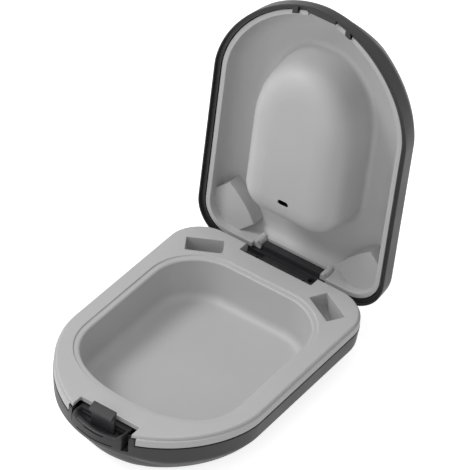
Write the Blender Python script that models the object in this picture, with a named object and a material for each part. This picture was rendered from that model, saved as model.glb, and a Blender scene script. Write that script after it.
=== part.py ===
"""Pocket case for a pair of hearing aids: a dark clamshell with a pale tray in each half.

Metres, +Z up. The origin is the middle of the flat underside. -Y is the front, with the latch
button, and +Y is the back, with the hinge. The lid stands open, as the case lies ready for use.
"""

import math

import bmesh
import bpy
from mathutils import Vector

# Fits shared by every pair of pieces
FIT_GAP = 0.0003
SLIDE_GAP = 0.0004
OVERRUN = 0.004
BITE = 0.0006

# Outline of the top plate, seen from above: straight sides, round rear corners, arched front
PLATE_HALF_WIDTH = 0.0353
PLATE_REAR_Y = 0.0503
REAR_CORNER_RADIUS = 0.0123
ARCH_START_Y = -0.0143
ARCH_LENGTH = 0.036
ARCH_POWER = 1.78
PLATE_FRONT_Y = ARCH_START_Y - ARCH_LENGTH
ARCH_STEPS = 32
CORNER_STEPS = 6
ROUND_STEPS = 3

# Outline of the basin, by the width of the plate left around it
BASIN_SIDE_BORDER = 0.0049
BASIN_REAR_BORDER = 0.0113
BASIN_FRONT_BORDER = 0.0133
BASIN_HALF_WIDTH = PLATE_HALF_WIDTH - BASIN_SIDE_BORDER
BASIN_REAR_Y = PLATE_REAR_Y - BASIN_REAR_BORDER
BASIN_ARCH_LENGTH = ARCH_LENGTH - BASIN_FRONT_BORDER
BASIN_CORNER_RADIUS = 0.019
BASIN_ARCH_POWER = 2.3
BASIN_DEPTH = 0.0155
BASIN_DRAFT = 0.0009
BASIN_FLOOR_ROUNDING = 0.0042
FLOOR_ROUNDING_SHARE = 0.8
LIP_STEP = 0.0005
LIP_LEDGE = 0.0012
LIP_ROUNDING = 0.0009
TRAY_WALL = 0.0013

# Edge of the tray, downwards from the plate
PLATE_THICKNESS = 0.0016
PLATE_EDGE_HEIGHT = 0.0012
PLATE_EDGE_ROUNDING = 0.0005
BAND_STEP = 0.0007
BAND_HEIGHT = 0.0026
BAND_ROUNDING = 0.0004
SKIRT_DEPTH = 0.0032
SKIRT_WALL = 0.0012

# Dark bottom shell
SHELL_WALL = 0.0016
SHELL_FLOOR = 0.0014
SHELL_STEP = 0.0008
SHELL_DRAFT = 0.0005
SHELL_WALL_HEIGHT = 0.0062
BEVEL_INSET = 0.0033
BEVEL_HEIGHT = 0.0047
FOOT_INSET = 0.0041
FOOT_ROUNDING = 0.0026

# Both shells get slimmer towards the front: the bevels start nearer the rim and draw in
FRONT_RISE_LENGTH = 0.0093
FRONT_RISE_POWER = 1.3
FRONT_WALL_RISE = 0.0022
FRONT_BEVEL_RISE = 0.001
FRONT_BEVEL_INSET = 0.0035
FRONT_FOOT_INSET = 0.004
FRONT_TRAY_INSET = 0.0055

# Heights worked out from the sizes above
CASE_HEIGHT = BASIN_DEPTH + TRAY_WALL + FIT_GAP + SHELL_FLOOR
PLATE_UNDERSIDE_Z = CASE_HEIGHT - PLATE_THICKNESS
BAND_TOP_Z = CASE_HEIGHT - PLATE_EDGE_HEIGHT
BAND_BOTTOM_Z = BAND_TOP_Z - BAND_HEIGHT
SHELL_TOP_Z = BAND_BOTTOM_Z - FIT_GAP
WALL_BOTTOM_Z = SHELL_TOP_Z - SHELL_WALL_HEIGHT
BEVEL_BOTTOM_Z = WALL_BOTTOM_Z - BEVEL_HEIGHT

# Hearing aid cells stand on edge in two wells in the rear corners
CELL_DIAMETER = 0.0116
CELL_THICKNESS = 0.0054
CELL_PLAY = 0.0008
CELL_THICKNESS_PLAY = 0.001
WELL_FROM_SIDE = 0.01146
WELL_FROM_REAR = 0.0097
WELL_CENTRE_X = PLATE_HALF_WIDTH - WELL_FROM_SIDE
WELL_CENTRE_Y = PLATE_REAR_Y - WELL_FROM_REAR
WELL_TURN = math.radians(30)
WELL_DEPTH = 0.0088
WELL_WALL = 0.0012
WELL_STEPS = 12

# Hinge
HINGE_FROM_REAR = 0.001
HINGE_DROP = 0.0046
HINGE_Y = PLATE_REAR_Y - HINGE_FROM_REAR
HINGE_Z = CASE_HEIGHT - HINGE_DROP
BARREL_RADIUS = 0.0018
PIN_RADIUS = 0.00075
PIN_HALF_LENGTH = 0.0129
LID_KNUCKLE_HALF_LENGTH = 0.0089
BASE_KNUCKLE_END_X = 0.0136
HINGE_ARM_THICKNESS = 0.0016
HINGE_NOTCH_LENGTH = 0.0041
HINGE_NOTCH_FRONT_Y = PLATE_REAR_Y - HINGE_NOTCH_LENGTH
NOTCH_DEPTH = 0.008
ROUND_SIDES = 20
LID_OPEN_ANGLE = math.radians(92)

# Lid, given as it lies closed
LID_RIM_Z = BAND_TOP_Z + FIT_GAP
LID_LIP_HEIGHT = 0.0012
LID_LIP_THICKNESS = 0.0005
LID_STEP_WIDTH = 0.0014
LID_DEPTH = 0.013
LID_BEVEL_INSET = 0.0029
LID_BEVEL_HEIGHT = 0.0042
LID_CROWN_HEIGHT = 0.0028
LID_WALL_HEIGHT = LID_DEPTH - LID_BEVEL_HEIGHT - LID_CROWN_HEIGHT
LID_TOP_INSET = 0.0044
LID_TOP_ROUNDING = 0.0026
LID_TRAY_RIM_WIDTH = 0.0018
LID_TRAY_ROUNDING = 0.0065
LID_TRAY_FLOOR_INSET = 0.0072
LID_TRAY_WALL = 0.0014
LID_INNER_TOP_Z = LID_RIM_Z + LID_DEPTH - SHELL_WALL
LID_TRAY_FLOOR_Z = LID_INNER_TOP_Z - FIT_GAP - LID_TRAY_WALL

# Raised dome of the lid's tray, by its distance from the edges at its foot
DOME_FROM_SIDE = 0.0161
DOME_FROM_REAR = 0.0207
DOME_FROM_FRONT = 0.0179
DOME_ARCH_SETBACK = 0.0083
DOME_HALF_WIDTH = PLATE_HALF_WIDTH - DOME_FROM_SIDE
DOME_REAR_Y = PLATE_REAR_Y - DOME_FROM_REAR
DOME_ARCH_START_Y = ARCH_START_Y + DOME_ARCH_SETBACK
DOME_ARCH_LENGTH = ARCH_LENGTH + DOME_ARCH_SETBACK - DOME_FROM_FRONT
DOME_CORNER_RADIUS = 0.0112
DOME_ARCH_POWER = 2.1
DOME_RISE = 0.008
DOME_DRAFT = 0.0022
DOME_EDGE_ROUNDING = 0.0085
DOME_FACE_LAND = 0.0003
DOME_CAVITY_ROUNDING = 0.0064
DOME_FOOT_ROUNDING = 0.002
DOME_FACE_Z = LID_RIM_Z - DOME_RISE
DOME_SLOT_SETBACK = 0.011
DOME_SLOT_Y = DOME_REAR_Y - DOME_SLOT_SETBACK
DOME_SLOT_LENGTH = 0.004
DOME_SLOT_WIDTH = 0.0016

# Pads that hold the cells down, from the side and the rear, and the round ribs by the hinge
PAD_INNER_FROM_SIDE = 0.0191
PAD_INNER_FROM_REAR = 0.008
PAD_OUTER_FROM_SIDE = 0.0079
PAD_OUTER_FROM_REAR = 0.0196
PAD_BULGE = 0.001
PAD_BULGE_SHARES = (0, 0.75, 1, 0.75, 0)
PAD_CLOSED_HEIGHT = 0.0031
PAD_EDGE_SHARE = 0.25
RIB_X = 0.013
RIB_FROM_REAR = 0.003
RIB_RADIUS = 0.0014
RIB_LENGTH = 0.005
RIB_END_SHARE = 0.6
HINGE_BOSS_FROM_REAR = 0.003
HINGE_BOSS_START = 0.0027
HINGE_BOSS_DEPTH = 0.0059
HINGE_BOSS_BITE = 0.0004
BOSS_NOTCH_FROM_REAR = 0.0043
RIM_NOTCH_DEPTH = 0.0012

# Latch, measured back from the front of the plate
LATCH_NOTCH_HALF_WIDTH = 0.011
LATCH_NOTCH_LENGTH = 0.0067
OPENING_HALF_WIDTH = 0.0107
POST_WIDTH = 0.0016
BUTTON_RIGHT_X = 0.0086
BUTTON_LEFT_X = FIT_GAP - OPENING_HALF_WIDTH
BUTTON_MIDDLE_X = (BUTTON_LEFT_X + BUTTON_RIGHT_X) / 2
BUTTON_PROUD = 0.0002
BUTTON_HEIGHT = 0.0052
BUTTON_TOP_DROP = 0.0016
BUTTON_LENGTH = 0.0054
BUTTON_BACK_DROP = 0.0021
BUTTON_LEDGE_LENGTH = 0.0023
BUTTON_LEDGE_THICKNESS = 0.0011
BUTTON_FRONT_WALL = 0.0013
BUTTON_EDGE_WALL = 0.0009
SCOOP_DEPTH = 0.0028
SCOOP_TAPER = 0.0007
SCOOP_DEPTH_SHARES = (0, 0.4, 0.75, 1)
EAR_LENGTH = 0.0012
EAR_DROP = 0.0026
LATCH_NOTCH_BACK_Y = PLATE_FRONT_Y + LATCH_NOTCH_LENGTH
BUTTON_BACK_Y = PLATE_FRONT_Y + BUTTON_LENGTH
BUTTON_TOP_Z = CASE_HEIGHT - BUTTON_TOP_DROP
BUTTON_LOW_Z = BUTTON_TOP_Z - BUTTON_HEIGHT
BUTTON_BACK_TOP_Z = CASE_HEIGHT - BUTTON_BACK_DROP

# Hook of the button
HOOK_HALF_WIDTH = 0.0043
HOOK_TIP_LENGTH = 0.0011
HOOK_BACK_LENGTH = 0.0039
HOOK_TIP_Y = PLATE_FRONT_Y + HOOK_TIP_LENGTH
HOOK_BACK_Y = PLATE_FRONT_Y + HOOK_BACK_LENGTH
HOOK_STEM = 0.0012
HOOK_TOP_RISE = 0.0041
HOOK_FLAT = 0.0004
HOOK_TIP_TOP_RISE = 0.0029
HOOK_UNDER_RISE = 0.0021

# Grip grooves of the button
GRIP_GROOVE_WIDTH = 0.0004
GRIP_GROOVE_DEPTH = 0.0005
LONG_GROOVE_HALF_LENGTH = 0.0068
LONG_GROOVE_DROP = 0.0062
SHORT_GROOVE_HALF_LENGTH = 0.0037
SHORT_GROOVE_DROP = 0.0036

# Shelf under the button, and its ribs
SHELF_THICKNESS = 0.0012
SHELF_LENGTH = 0.0078
SHELF_BACK_Y = PLATE_FRONT_Y + SHELF_LENGTH
SHELF_RIB_X = 0.0086
SHELF_RIB_WIDTH = 0.0012
SHELF_RIB_HEIGHT = 0.003
SHELF_RIB_START = 0.0048
SHELF_RIB_FRONT_Y = PLATE_FRONT_Y + SHELF_RIB_START

# Catch on the lid
CATCH_HALF_WIDTH = 0.0052
CATCH_LENGTH = 0.0019
CATCH_HEIGHT = 0.0025
CATCH_RELIEF = 0.0008
CATCH_BACK_Y = PLATE_FRONT_Y + CATCH_LENGTH
TONGUE_INNER_X = 0.0088
TONGUE_OUTER_X = 0.0107
TONGUE_REACH = 0.0024
TONGUE_HEIGHT = 0.0026
HOOK_POCKET_LENGTH = 0.0053
HOOK_POCKET_BACK_Y = PLATE_FRONT_Y + HOOK_POCKET_LENGTH

# Return springs of the button
SPRING_X = 0.006
SPRING_DROP = 0.0051
SPRING_RADIUS = 0.00125
SPRING_WIRE_RADIUS = 0.00025
SPRING_TURNS = 4
SPRING_STEPS = 12
SPRING_ROOM = 0.0053
SPRING_Z = CASE_HEIGHT - SPRING_DROP
SPRING_TOP_Z = SPRING_Z + SPRING_RADIUS + SPRING_WIRE_RADIUS
SPRING_SEAT_Y = BUTTON_BACK_Y + SPRING_ROOM
SPRING_SEAT_THICKNESS = 0.0014
SPRING_SEAT_HALF_WIDTH = SPRING_X + 2 * SPRING_RADIUS
PEG_RADIUS = 0.0007
PEG_LENGTH = 0.0011

SHADE_ANGLE = math.radians(35)


def clear_scene():
    for old in list(bpy.data.objects):
        bpy.data.objects.remove(old, do_unlink=True)


def plastic(name, colour, roughness, metallic=0.0):
    material = bpy.data.materials.new(name)
    material.use_nodes = True
    shader = material.node_tree.nodes["Principled BSDF"]
    shader.inputs["Base Color"].default_value = (*colour, 1.0)
    shader.inputs["Roughness"].default_value = roughness
    shader.inputs["Metallic"].default_value = metallic
    return material


# Outlines seen from above, anticlockwise from the left end of the arch

def tombstone(half_width, rear_y, corner_radius, arch_start_y, arch_length, power):
    points = []
    for step in range(ARCH_STEPS + 1):
        angle = math.pi * step / ARCH_STEPS
        across = math.cos(angle)
        x = -half_width * math.copysign(abs(across) ** (2 / power), across)
        y = arch_start_y - arch_length * abs(math.sin(angle)) ** (2 / power)
        points.append((x, y))
    corner_x = half_width - corner_radius
    for centre_x, first_angle in ((corner_x, 0), (-corner_x, math.pi / 2)):
        for step in range(CORNER_STEPS + 1):
            angle = first_angle + math.pi / 2 * step / CORNER_STEPS
            x = centre_x + corner_radius * math.cos(angle)
            y = rear_y - corner_radius + corner_radius * math.sin(angle)
            points.append((x, y))
    return points


def case_ring(offset, z):
    outline = tombstone(
        PLATE_HALF_WIDTH + offset,
        PLATE_REAR_Y + offset,
        REAR_CORNER_RADIUS + offset,
        ARCH_START_Y,
        ARCH_LENGTH + offset,
        ARCH_POWER,
    )
    return [Vector((x, y, z)) for x, y in outline]


def front_ring(offset, z, rise, inset):
    """Ring of the case's outline that rises and draws in towards the front."""
    ring = []
    for point, inner in zip(case_ring(offset, z), case_ring(offset - inset, z)):
        reach = (PLATE_FRONT_Y + FRONT_RISE_LENGTH - point.y) / FRONT_RISE_LENGTH
        share = max(0, reach) ** FRONT_RISE_POWER
        ring.append(point.lerp(inner, share) + Vector((0, 0, rise * share)))
    return ring


def underside_rings(profile, upwards):
    """Rings of a shell's outside from the foot of its wall on, slimmer towards the front."""
    rings = [front_ring(*profile[0], upwards * FRONT_WALL_RISE, 0)]
    last = len(profile) - 2
    for number, (offset, z) in enumerate(profile[1:]):
        share = number / last
        rise = upwards * FRONT_BEVEL_RISE * (1 - share)
        inset = FRONT_BEVEL_INSET + (FRONT_FOOT_INSET - FRONT_BEVEL_INSET) * share
        rings.append(front_ring(offset, z, rise, inset))
    return rings


def basin_ring(offset, z):
    outline = tombstone(
        BASIN_HALF_WIDTH + offset,
        BASIN_REAR_Y + offset,
        BASIN_CORNER_RADIUS + offset,
        ARCH_START_Y,
        BASIN_ARCH_LENGTH + offset,
        BASIN_ARCH_POWER,
    )
    return [Vector((x, y, z)) for x, y in outline]


def dome_ring(offset, z):
    outline = tombstone(
        DOME_HALF_WIDTH + offset,
        DOME_REAR_Y + offset,
        DOME_CORNER_RADIUS + offset,
        DOME_ARCH_START_Y,
        DOME_ARCH_LENGTH + offset,
        DOME_ARCH_POWER,
    )
    return [Vector((x, y, z)) for x, y in outline]


def arch_y(x, offset):
    """Y of the arched front at x, this far outside the plate's outline."""
    share = abs(x) / (PLATE_HALF_WIDTH + offset)
    return ARCH_START_Y - (ARCH_LENGTH + offset) * (1 - share**ARCH_POWER) ** (1 / ARCH_POWER)


def arch_points(left_x, right_x, offset):
    """Points along the arched front from left to right."""
    count = max(2, round((right_x - left_x) / (ARCH_LENGTH / ARCH_STEPS)))
    xs = [left_x + (right_x - left_x) * step / count for step in range(count + 1)]
    return [(x, arch_y(x, offset)) for x in xs]


def rounded_profile(corners):
    """Profile points for corners given as (offset, height, length of rounding)."""
    path = []
    for number, (offset, height, reach) in enumerate(corners):
        here = Vector((offset, height))
        if reach == 0:
            path.append(here)
            continue
        start = here + (Vector(corners[number - 1][:2]) - here).normalized() * reach
        end = here + (Vector(corners[number + 1][:2]) - here).normalized() * reach
        for step in range(ROUND_STEPS + 1):
            share = step / ROUND_STEPS
            path.append(start.lerp(here, share).lerp(here.lerp(end, share), share))
    return path


# Meshes

def finish(name, mesh_builder, material, parent=None, helper=False):
    bmesh.ops.recalc_face_normals(mesh_builder, faces=mesh_builder.faces)
    mesh = bpy.data.meshes.new(name)
    mesh_builder.to_mesh(mesh)
    mesh_builder.free()
    mesh.shade_smooth()
    mesh.set_sharp_from_angle(angle=SHADE_ANGLE)
    made = bpy.data.objects.new(name, mesh)
    bpy.context.scene.collection.objects.link(made)
    if material:
        mesh.materials.append(material)
    if parent:
        made.parent = parent
        made.location = -parent.location
    if helper:
        made.hide_render = True
        made.display_type = "WIRE"
    return made


def loft(name, rings, material=None, parent=None, helper=False):
    """Closed solid through rings of as many points each, with a flat face at both ends."""
    builder = bmesh.new()
    made = [[builder.verts.new(point) for point in ring] for ring in rings]
    count = len(rings[0])
    for low, high in zip(made, made[1:]):
        for number in range(count):
            after = (number + 1) % count
            builder.faces.new((low[number], low[after], high[after], high[number]))
    builder.faces.new(list(reversed(made[0])))
    builder.faces.new(made[-1])
    return finish(name, builder, material, parent, helper)


def prism(name, outline, low_z, high_z, parent=None):
    """Hidden helper: an outline seen from above, raised from low_z to high_z."""
    rings = [[Vector((x, y, z)) for x, y in outline] for z in (low_z, high_z)]
    return loft(name, rings, parent=parent, helper=True)


def side_prism(name, profile, low_x, high_x, material=None, parent=None, helper=True):
    """Solid with a (y, z) profile, drawn out along X."""
    rings = [[Vector((x, y, z)) for y, z in profile] for x in (low_x, high_x)]
    return loft(name, rings, material, parent, helper)


def box(name, low, high, parent=None):
    outline = [(low[0], low[1]), (high[0], low[1]), (high[0], high[1]), (low[0], high[1])]
    return prism(name, outline, low[2], high[2], parent)


def circle(centre, radius, sides=ROUND_SIDES):
    turns = [2 * math.pi * (side + 0.5) / sides for side in range(sides)]
    return [(centre[0] + radius * math.cos(t), centre[1] + radius * math.sin(t)) for t in turns]


def arch_block(name, left_x, right_x, outer, inner, low_z, high_z, parent=None):
    """Hidden helper: a stretch of the arched front between two offsets."""
    outline = arch_points(left_x, right_x, outer) + arch_points(left_x, right_x, inner)[::-1]
    return prism(name, outline, low_z, high_z, parent)


def front_block(name, left_x, right_x, outer, back_y, low_z, high_z, parent=None):
    """Hidden helper: arched front face, flat sides and a flat back at back_y."""
    outline = arch_points(left_x, right_x, outer) + [(right_x, back_y), (left_x, back_y)]
    return prism(name, outline, low_z, high_z, parent)


def combine(target, operation, helper):
    modifier = target.modifiers.new(helper.name, "BOOLEAN")
    modifier.operation = operation
    modifier.object = helper
    modifier.solver = "EXACT"


def cut(target, *helpers):
    for helper in helpers:
        combine(target, "DIFFERENCE", helper)


def add(target, *helpers):
    for helper in helpers:
        combine(target, "UNION", helper)


def on_both_sides(make):
    """Calls make("left", -1) and make("right", 1)."""
    return [make(side, sign) for side, sign in (("left", -1), ("right", 1))]


# Bottom half

def base_shell_body(material):
    wall_offset = SHELL_STEP - SHELL_DRAFT
    bevel_offset = wall_offset - BEVEL_INSET
    foot_offset = bevel_offset - FOOT_INSET
    floor_offset = foot_offset - SHELL_WALL
    inner_bevel_z = BEVEL_BOTTOM_Z + SHELL_WALL / 2
    inner_wall_z = WALL_BOTTOM_Z + SHELL_WALL / 2
    foot = rounded_profile([
        (wall_offset, WALL_BOTTOM_Z, 0),
        (bevel_offset, BEVEL_BOTTOM_Z, FOOT_ROUNDING),
        (foot_offset, 0, 0),
    ])
    rings = [
        front_ring(floor_offset, SHELL_FLOOR, 0, FRONT_FOOT_INSET),
        front_ring(bevel_offset - SHELL_WALL, inner_bevel_z, FRONT_BEVEL_RISE, FRONT_BEVEL_INSET),
        front_ring(wall_offset - SHELL_WALL, inner_wall_z, FRONT_WALL_RISE, 0),
        case_ring(SHELL_STEP - SHELL_WALL, SHELL_TOP_Z),
        case_ring(SHELL_STEP, SHELL_TOP_Z),
    ]
    rings += underside_rings(foot, 1)
    return loft("base_shell", rings, material)


def add_latch_posts(shell):
    post_top_z = BAND_TOP_Z - FIT_GAP
    outer_x = OPENING_HALF_WIDTH + POST_WIDTH

    def post(side, sign):
        xs = sorted((sign * OPENING_HALF_WIDTH, sign * outer_x))
        return arch_block(
            f"post_{side}", *xs, SHELL_STEP, SHELL_STEP - SHELL_WALL, SHELL_TOP_Z - BITE, post_top_z
        )

    add(shell, *on_both_sides(post))


def add_latch_shelf(shell):
    shelf_top_z = BUTTON_LOW_Z - FIT_GAP
    shelf_low_z = shelf_top_z - SHELF_THICKNESS
    shelf_front = SHELL_STEP - SHELL_WALL
    shelf_half_width = OPENING_HALF_WIDTH - FIT_GAP
    shelf = front_block(
        "latch_shelf",
        -shelf_half_width,
        shelf_half_width,
        shelf_front,
        SHELF_BACK_Y,
        shelf_low_z,
        shelf_top_z,
    )
    add(shell, shelf)

    def rib(side, sign):
        xs = sorted((sign * SHELF_RIB_X, sign * (SHELF_RIB_X - SHELF_RIB_WIDTH)))
        low = (xs[0], SHELF_RIB_FRONT_Y, shelf_low_z - SHELF_RIB_HEIGHT)
        high = (xs[1], SHELF_BACK_Y, shelf_low_z + SHELF_THICKNESS / 2)
        return box(f"shelf_rib_{side}", low, high)

    add(shell, *on_both_sides(rib))


def add_spring_seat(shell):
    seat = box(
        "spring_seat",
        (-SPRING_SEAT_HALF_WIDTH, SPRING_SEAT_Y, SHELL_FLOOR / 2),
        (SPRING_SEAT_HALF_WIDTH, SPRING_SEAT_Y + SPRING_SEAT_THICKNESS, SPRING_TOP_Z),
    )
    add(shell, seat)

    def peg(side, sign):
        return peg_at(f"seat_peg_{side}", sign * SPRING_X, SPRING_SEAT_Y - PEG_LENGTH, SPRING_SEAT_Y)

    add(shell, *on_both_sides(peg))


def peg_at(name, x, front_y, back_y):
    """Peg inside a spring, biting into the wall at one of its ends."""
    rings = [
        [Vector((px, y, pz)) for px, pz in circle((x, SPRING_Z), PEG_RADIUS)]
        for y in (front_y - BITE / 2, back_y + BITE / 2)
    ]
    return loft(name, rings, helper=True)


def cut_hinge_gap_in_shell(shell):
    half_width = LID_KNUCKLE_HALF_LENGTH + FIT_GAP
    gap = box(
        "shell_hinge_gap",
        (-half_width, HINGE_Y - BARREL_RADIUS - SLIDE_GAP, HINGE_Z - BARREL_RADIUS - SLIDE_GAP),
        (half_width, PLATE_REAR_Y + OVERRUN, CASE_HEIGHT),
    )
    cut(shell, gap)


def barrel_profile(radius):
    return circle((HINGE_Y, HINGE_Z), radius)


def add_base_knuckles(shell):
    inner_x = LID_KNUCKLE_HALF_LENGTH + SLIDE_GAP

    def knuckle(side, sign):
        xs = sorted((sign * inner_x, sign * BASE_KNUCKLE_END_X))
        return side_prism(f"base_knuckle_{side}", barrel_profile(BARREL_RADIUS), *xs)

    add(shell, *on_both_sides(knuckle))
    bore_half_length = PIN_HALF_LENGTH + FIT_GAP
    bore = side_prism(
        "base_bore", barrel_profile(PIN_RADIUS + FIT_GAP), -bore_half_length, bore_half_length
    )
    cut(shell, bore)


def make_base_shell(material):
    shell = base_shell_body(material)
    add_latch_shelf(shell)
    opening = box(
        "latch_opening",
        (-OPENING_HALF_WIDTH, PLATE_FRONT_Y - OVERRUN, BUTTON_LOW_Z - FIT_GAP),
        (OPENING_HALF_WIDTH, SHELF_RIB_FRONT_Y, CASE_HEIGHT),
    )
    cut(shell, opening)
    add_latch_posts(shell)
    add_spring_seat(shell)
    cut_hinge_gap_in_shell(shell)
    add_base_knuckles(shell)
    return shell


def base_liner_body(material):
    skirt_offset = SHELL_STEP - SHELL_WALL - FIT_GAP
    skirt_low_z = BAND_BOTTOM_Z - SKIRT_DEPTH
    floor_z = CASE_HEIGHT - BASIN_DEPTH
    wall_top_offset = -LIP_LEDGE - LIP_ROUNDING
    wall_foot_offset = wall_top_offset - BASIN_DRAFT
    floor_offset = wall_foot_offset - BASIN_FLOOR_ROUNDING
    inside = rounded_profile([
        (floor_offset, floor_z, 0),
        (wall_foot_offset, floor_z, BASIN_FLOOR_ROUNDING * FLOOR_ROUNDING_SHARE),
        (wall_top_offset, CASE_HEIGHT - LIP_STEP, LIP_ROUNDING),
        (-LIP_STEP / 2, CASE_HEIGHT - LIP_STEP, 0),
        (0, CASE_HEIGHT, 0),
    ])
    edge = rounded_profile([
        (-PLATE_EDGE_ROUNDING * 2, CASE_HEIGHT, 0),
        (0, CASE_HEIGHT, PLATE_EDGE_ROUNDING),
        (0, BAND_TOP_Z, 0),
        (BAND_STEP, BAND_TOP_Z, BAND_ROUNDING),
        (BAND_STEP, BAND_BOTTOM_Z, 0),
        (skirt_offset, BAND_BOTTOM_Z, 0),
        (skirt_offset, skirt_low_z, 0),
        (skirt_offset - SKIRT_WALL, skirt_low_z, 0),
        (skirt_offset - SKIRT_WALL, PLATE_UNDERSIDE_Z, 0),
    ])
    outside = rounded_profile([
        (wall_top_offset + TRAY_WALL, PLATE_UNDERSIDE_Z, 0),
        (wall_foot_offset + TRAY_WALL, floor_z - TRAY_WALL, BASIN_FLOOR_ROUNDING * FLOOR_ROUNDING_SHARE),
        (floor_offset, floor_z - TRAY_WALL, 0),
    ])
    rings = [basin_ring(offset, z) for offset, z in inside]
    rings += [case_ring(offset, z) for offset, z in edge[1:]]
    rings += [basin_ring(offset, z) for offset, z in outside]
    return loft("base_liner", rings, material)


def well_solid(name, sign, half_length, half_width, depth, high_z):
    """Upright slot with a half-round bottom that a cell stands in."""
    low_z = CASE_HEIGHT - depth
    profile = [(half_length, high_z), (-half_length, high_z)]
    for step in range(WELL_STEPS + 1):
        angle = math.pi * (1 + step / WELL_STEPS)
        along = half_length * math.cos(angle)
        profile.append((along, low_z + half_length + half_length * math.sin(angle)))
    turn = -sign * WELL_TURN
    rings = []
    for across in (-half_width, half_width):
        ring = []
        for along, z in profile:
            x = sign * WELL_CENTRE_X + along * math.cos(turn) - across * math.sin(turn)
            y = WELL_CENTRE_Y + along * math.sin(turn) + across * math.cos(turn)
            ring.append(Vector((x, y, z)))
        rings.append(ring)
    return loft(name, rings, helper=True)


def add_wells(liner):
    half_length = (CELL_DIAMETER + CELL_PLAY) / 2
    half_width = (CELL_THICKNESS + CELL_THICKNESS_PLAY) / 2
    housing_top_z = PLATE_UNDERSIDE_Z + PLATE_THICKNESS / 2

    def housing(side, sign):
        return well_solid(
            f"well_housing_{side}",
            sign,
            half_length + WELL_WALL,
            half_width + WELL_WALL,
            WELL_DEPTH + WELL_WALL,
            housing_top_z,
        )

    def pocket(side, sign):
        return well_solid(
            f"well_pocket_{side}", sign, half_length, half_width, WELL_DEPTH, CASE_HEIGHT + OVERRUN
        )

    add(liner, *on_both_sides(housing))
    cut(liner, *on_both_sides(pocket))


def cut_liner_notches(liner):
    notch_half_width = BASE_KNUCKLE_END_X + FIT_GAP
    hinge_notch = box(
        "liner_hinge_notch",
        (-notch_half_width, HINGE_NOTCH_FRONT_Y, CASE_HEIGHT - NOTCH_DEPTH),
        (notch_half_width, PLATE_REAR_Y + OVERRUN, CASE_HEIGHT + OVERRUN),
    )
    latch_notch = box(
        "liner_latch_notch",
        (-LATCH_NOTCH_HALF_WIDTH, PLATE_FRONT_Y - OVERRUN, CASE_HEIGHT - NOTCH_DEPTH),
        (LATCH_NOTCH_HALF_WIDTH, LATCH_NOTCH_BACK_Y, CASE_HEIGHT + OVERRUN),
    )
    band_half_width = OPENING_HALF_WIDTH + POST_WIDTH + FIT_GAP
    band_notch = box(
        "liner_band_notch",
        (-band_half_width, PLATE_FRONT_Y - OVERRUN, CASE_HEIGHT - NOTCH_DEPTH),
        (band_half_width, LATCH_NOTCH_BACK_Y, BAND_TOP_Z),
    )
    cut(liner, hinge_notch, latch_notch, band_notch)


def make_base_liner(material):
    liner = base_liner_body(material)
    add_wells(liner)
    cut_liner_notches(liner)
    return liner


def make_hinge_pin(material):
    profile = barrel_profile(PIN_RADIUS)
    return side_prism(
        "hinge_pin", profile, -PIN_HALF_LENGTH, PIN_HALF_LENGTH, material, helper=False
    )


# Latch

def button_body(material, parent):
    outline = arch_points(BUTTON_LEFT_X, BUTTON_RIGHT_X, SHELL_STEP + BUTTON_PROUD)
    outline += [(BUTTON_RIGHT_X, BUTTON_BACK_Y), (BUTTON_LEFT_X, BUTTON_BACK_Y)]
    rings = [[Vector((x, y, z)) for x, y in outline] for z in (BUTTON_LOW_Z, BUTTON_TOP_Z)]
    return loft("latch_button", rings, material, parent)


def scoop_cutter(parent):
    """Finger scoop behind the button's front wall, narrower towards its floor."""
    left_x = BUTTON_LEFT_X + BUTTON_EDGE_WALL
    right_x = BUTTON_RIGHT_X - BUTTON_EDGE_WALL
    front_offset = SHELL_STEP - BUTTON_FRONT_WALL
    back_y = BUTTON_BACK_Y - BUTTON_EDGE_WALL
    rings = []
    for share in SCOOP_DEPTH_SHARES:
        narrowing = SCOOP_TAPER * (1 - math.sqrt(1 - share**2))
        z = BUTTON_TOP_Z - SCOOP_DEPTH * share
        ring = arch_points(left_x, right_x, front_offset - narrowing)
        ring += [(right_x, back_y - narrowing), (left_x, back_y - narrowing)]
        rings.insert(0, [Vector((x, y, z)) for x, y in ring])
    rings.append([point + Vector((0, 0, OVERRUN)) for point in rings[-1]])
    return loft("button_scoop", rings, parent=parent, helper=True)


def hook_profile():
    stem_front_y = HOOK_BACK_Y - HOOK_STEM
    low_z = BUTTON_LOW_Z + (BUTTON_HEIGHT - SCOOP_DEPTH) / 2
    return [
        (HOOK_BACK_Y, low_z),
        (HOOK_BACK_Y, CASE_HEIGHT + HOOK_TOP_RISE),
        (HOOK_BACK_Y - HOOK_FLAT, CASE_HEIGHT + HOOK_TOP_RISE),
        (HOOK_TIP_Y, CASE_HEIGHT + HOOK_TIP_TOP_RISE),
        (HOOK_TIP_Y, CASE_HEIGHT + HOOK_UNDER_RISE),
        (stem_front_y, CASE_HEIGHT + HOOK_UNDER_RISE),
        (stem_front_y, low_z),
    ]


def button_ears(parent):
    """Ears behind the posts, which stop the button from coming out at the front."""
    post_outer_x = OPENING_HALF_WIDTH + POST_WIDTH
    front_y = arch_y(OPENING_HALF_WIDTH, SHELL_STEP - SHELL_WALL) + EAR_LENGTH
    return box(
        "button_ears",
        (-post_outer_x, front_y, BUTTON_LOW_Z),
        (post_outer_x, BUTTON_BACK_Y, BUTTON_TOP_Z - EAR_DROP + BUTTON_BACK_DROP / 2),
        parent,
    )


def button_ledge(parent):
    """Thin ledge that reaches back under the plate, over the springs."""
    ledge_low_z = BUTTON_BACK_TOP_Z - BUTTON_LEDGE_THICKNESS
    return box(
        "button_ledge",
        (BUTTON_LEFT_X, BUTTON_BACK_Y - BITE, ledge_low_z),
        (BUTTON_RIGHT_X, BUTTON_BACK_Y + BUTTON_LEDGE_LENGTH, BUTTON_BACK_TOP_Z),
        parent,
    )


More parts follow.
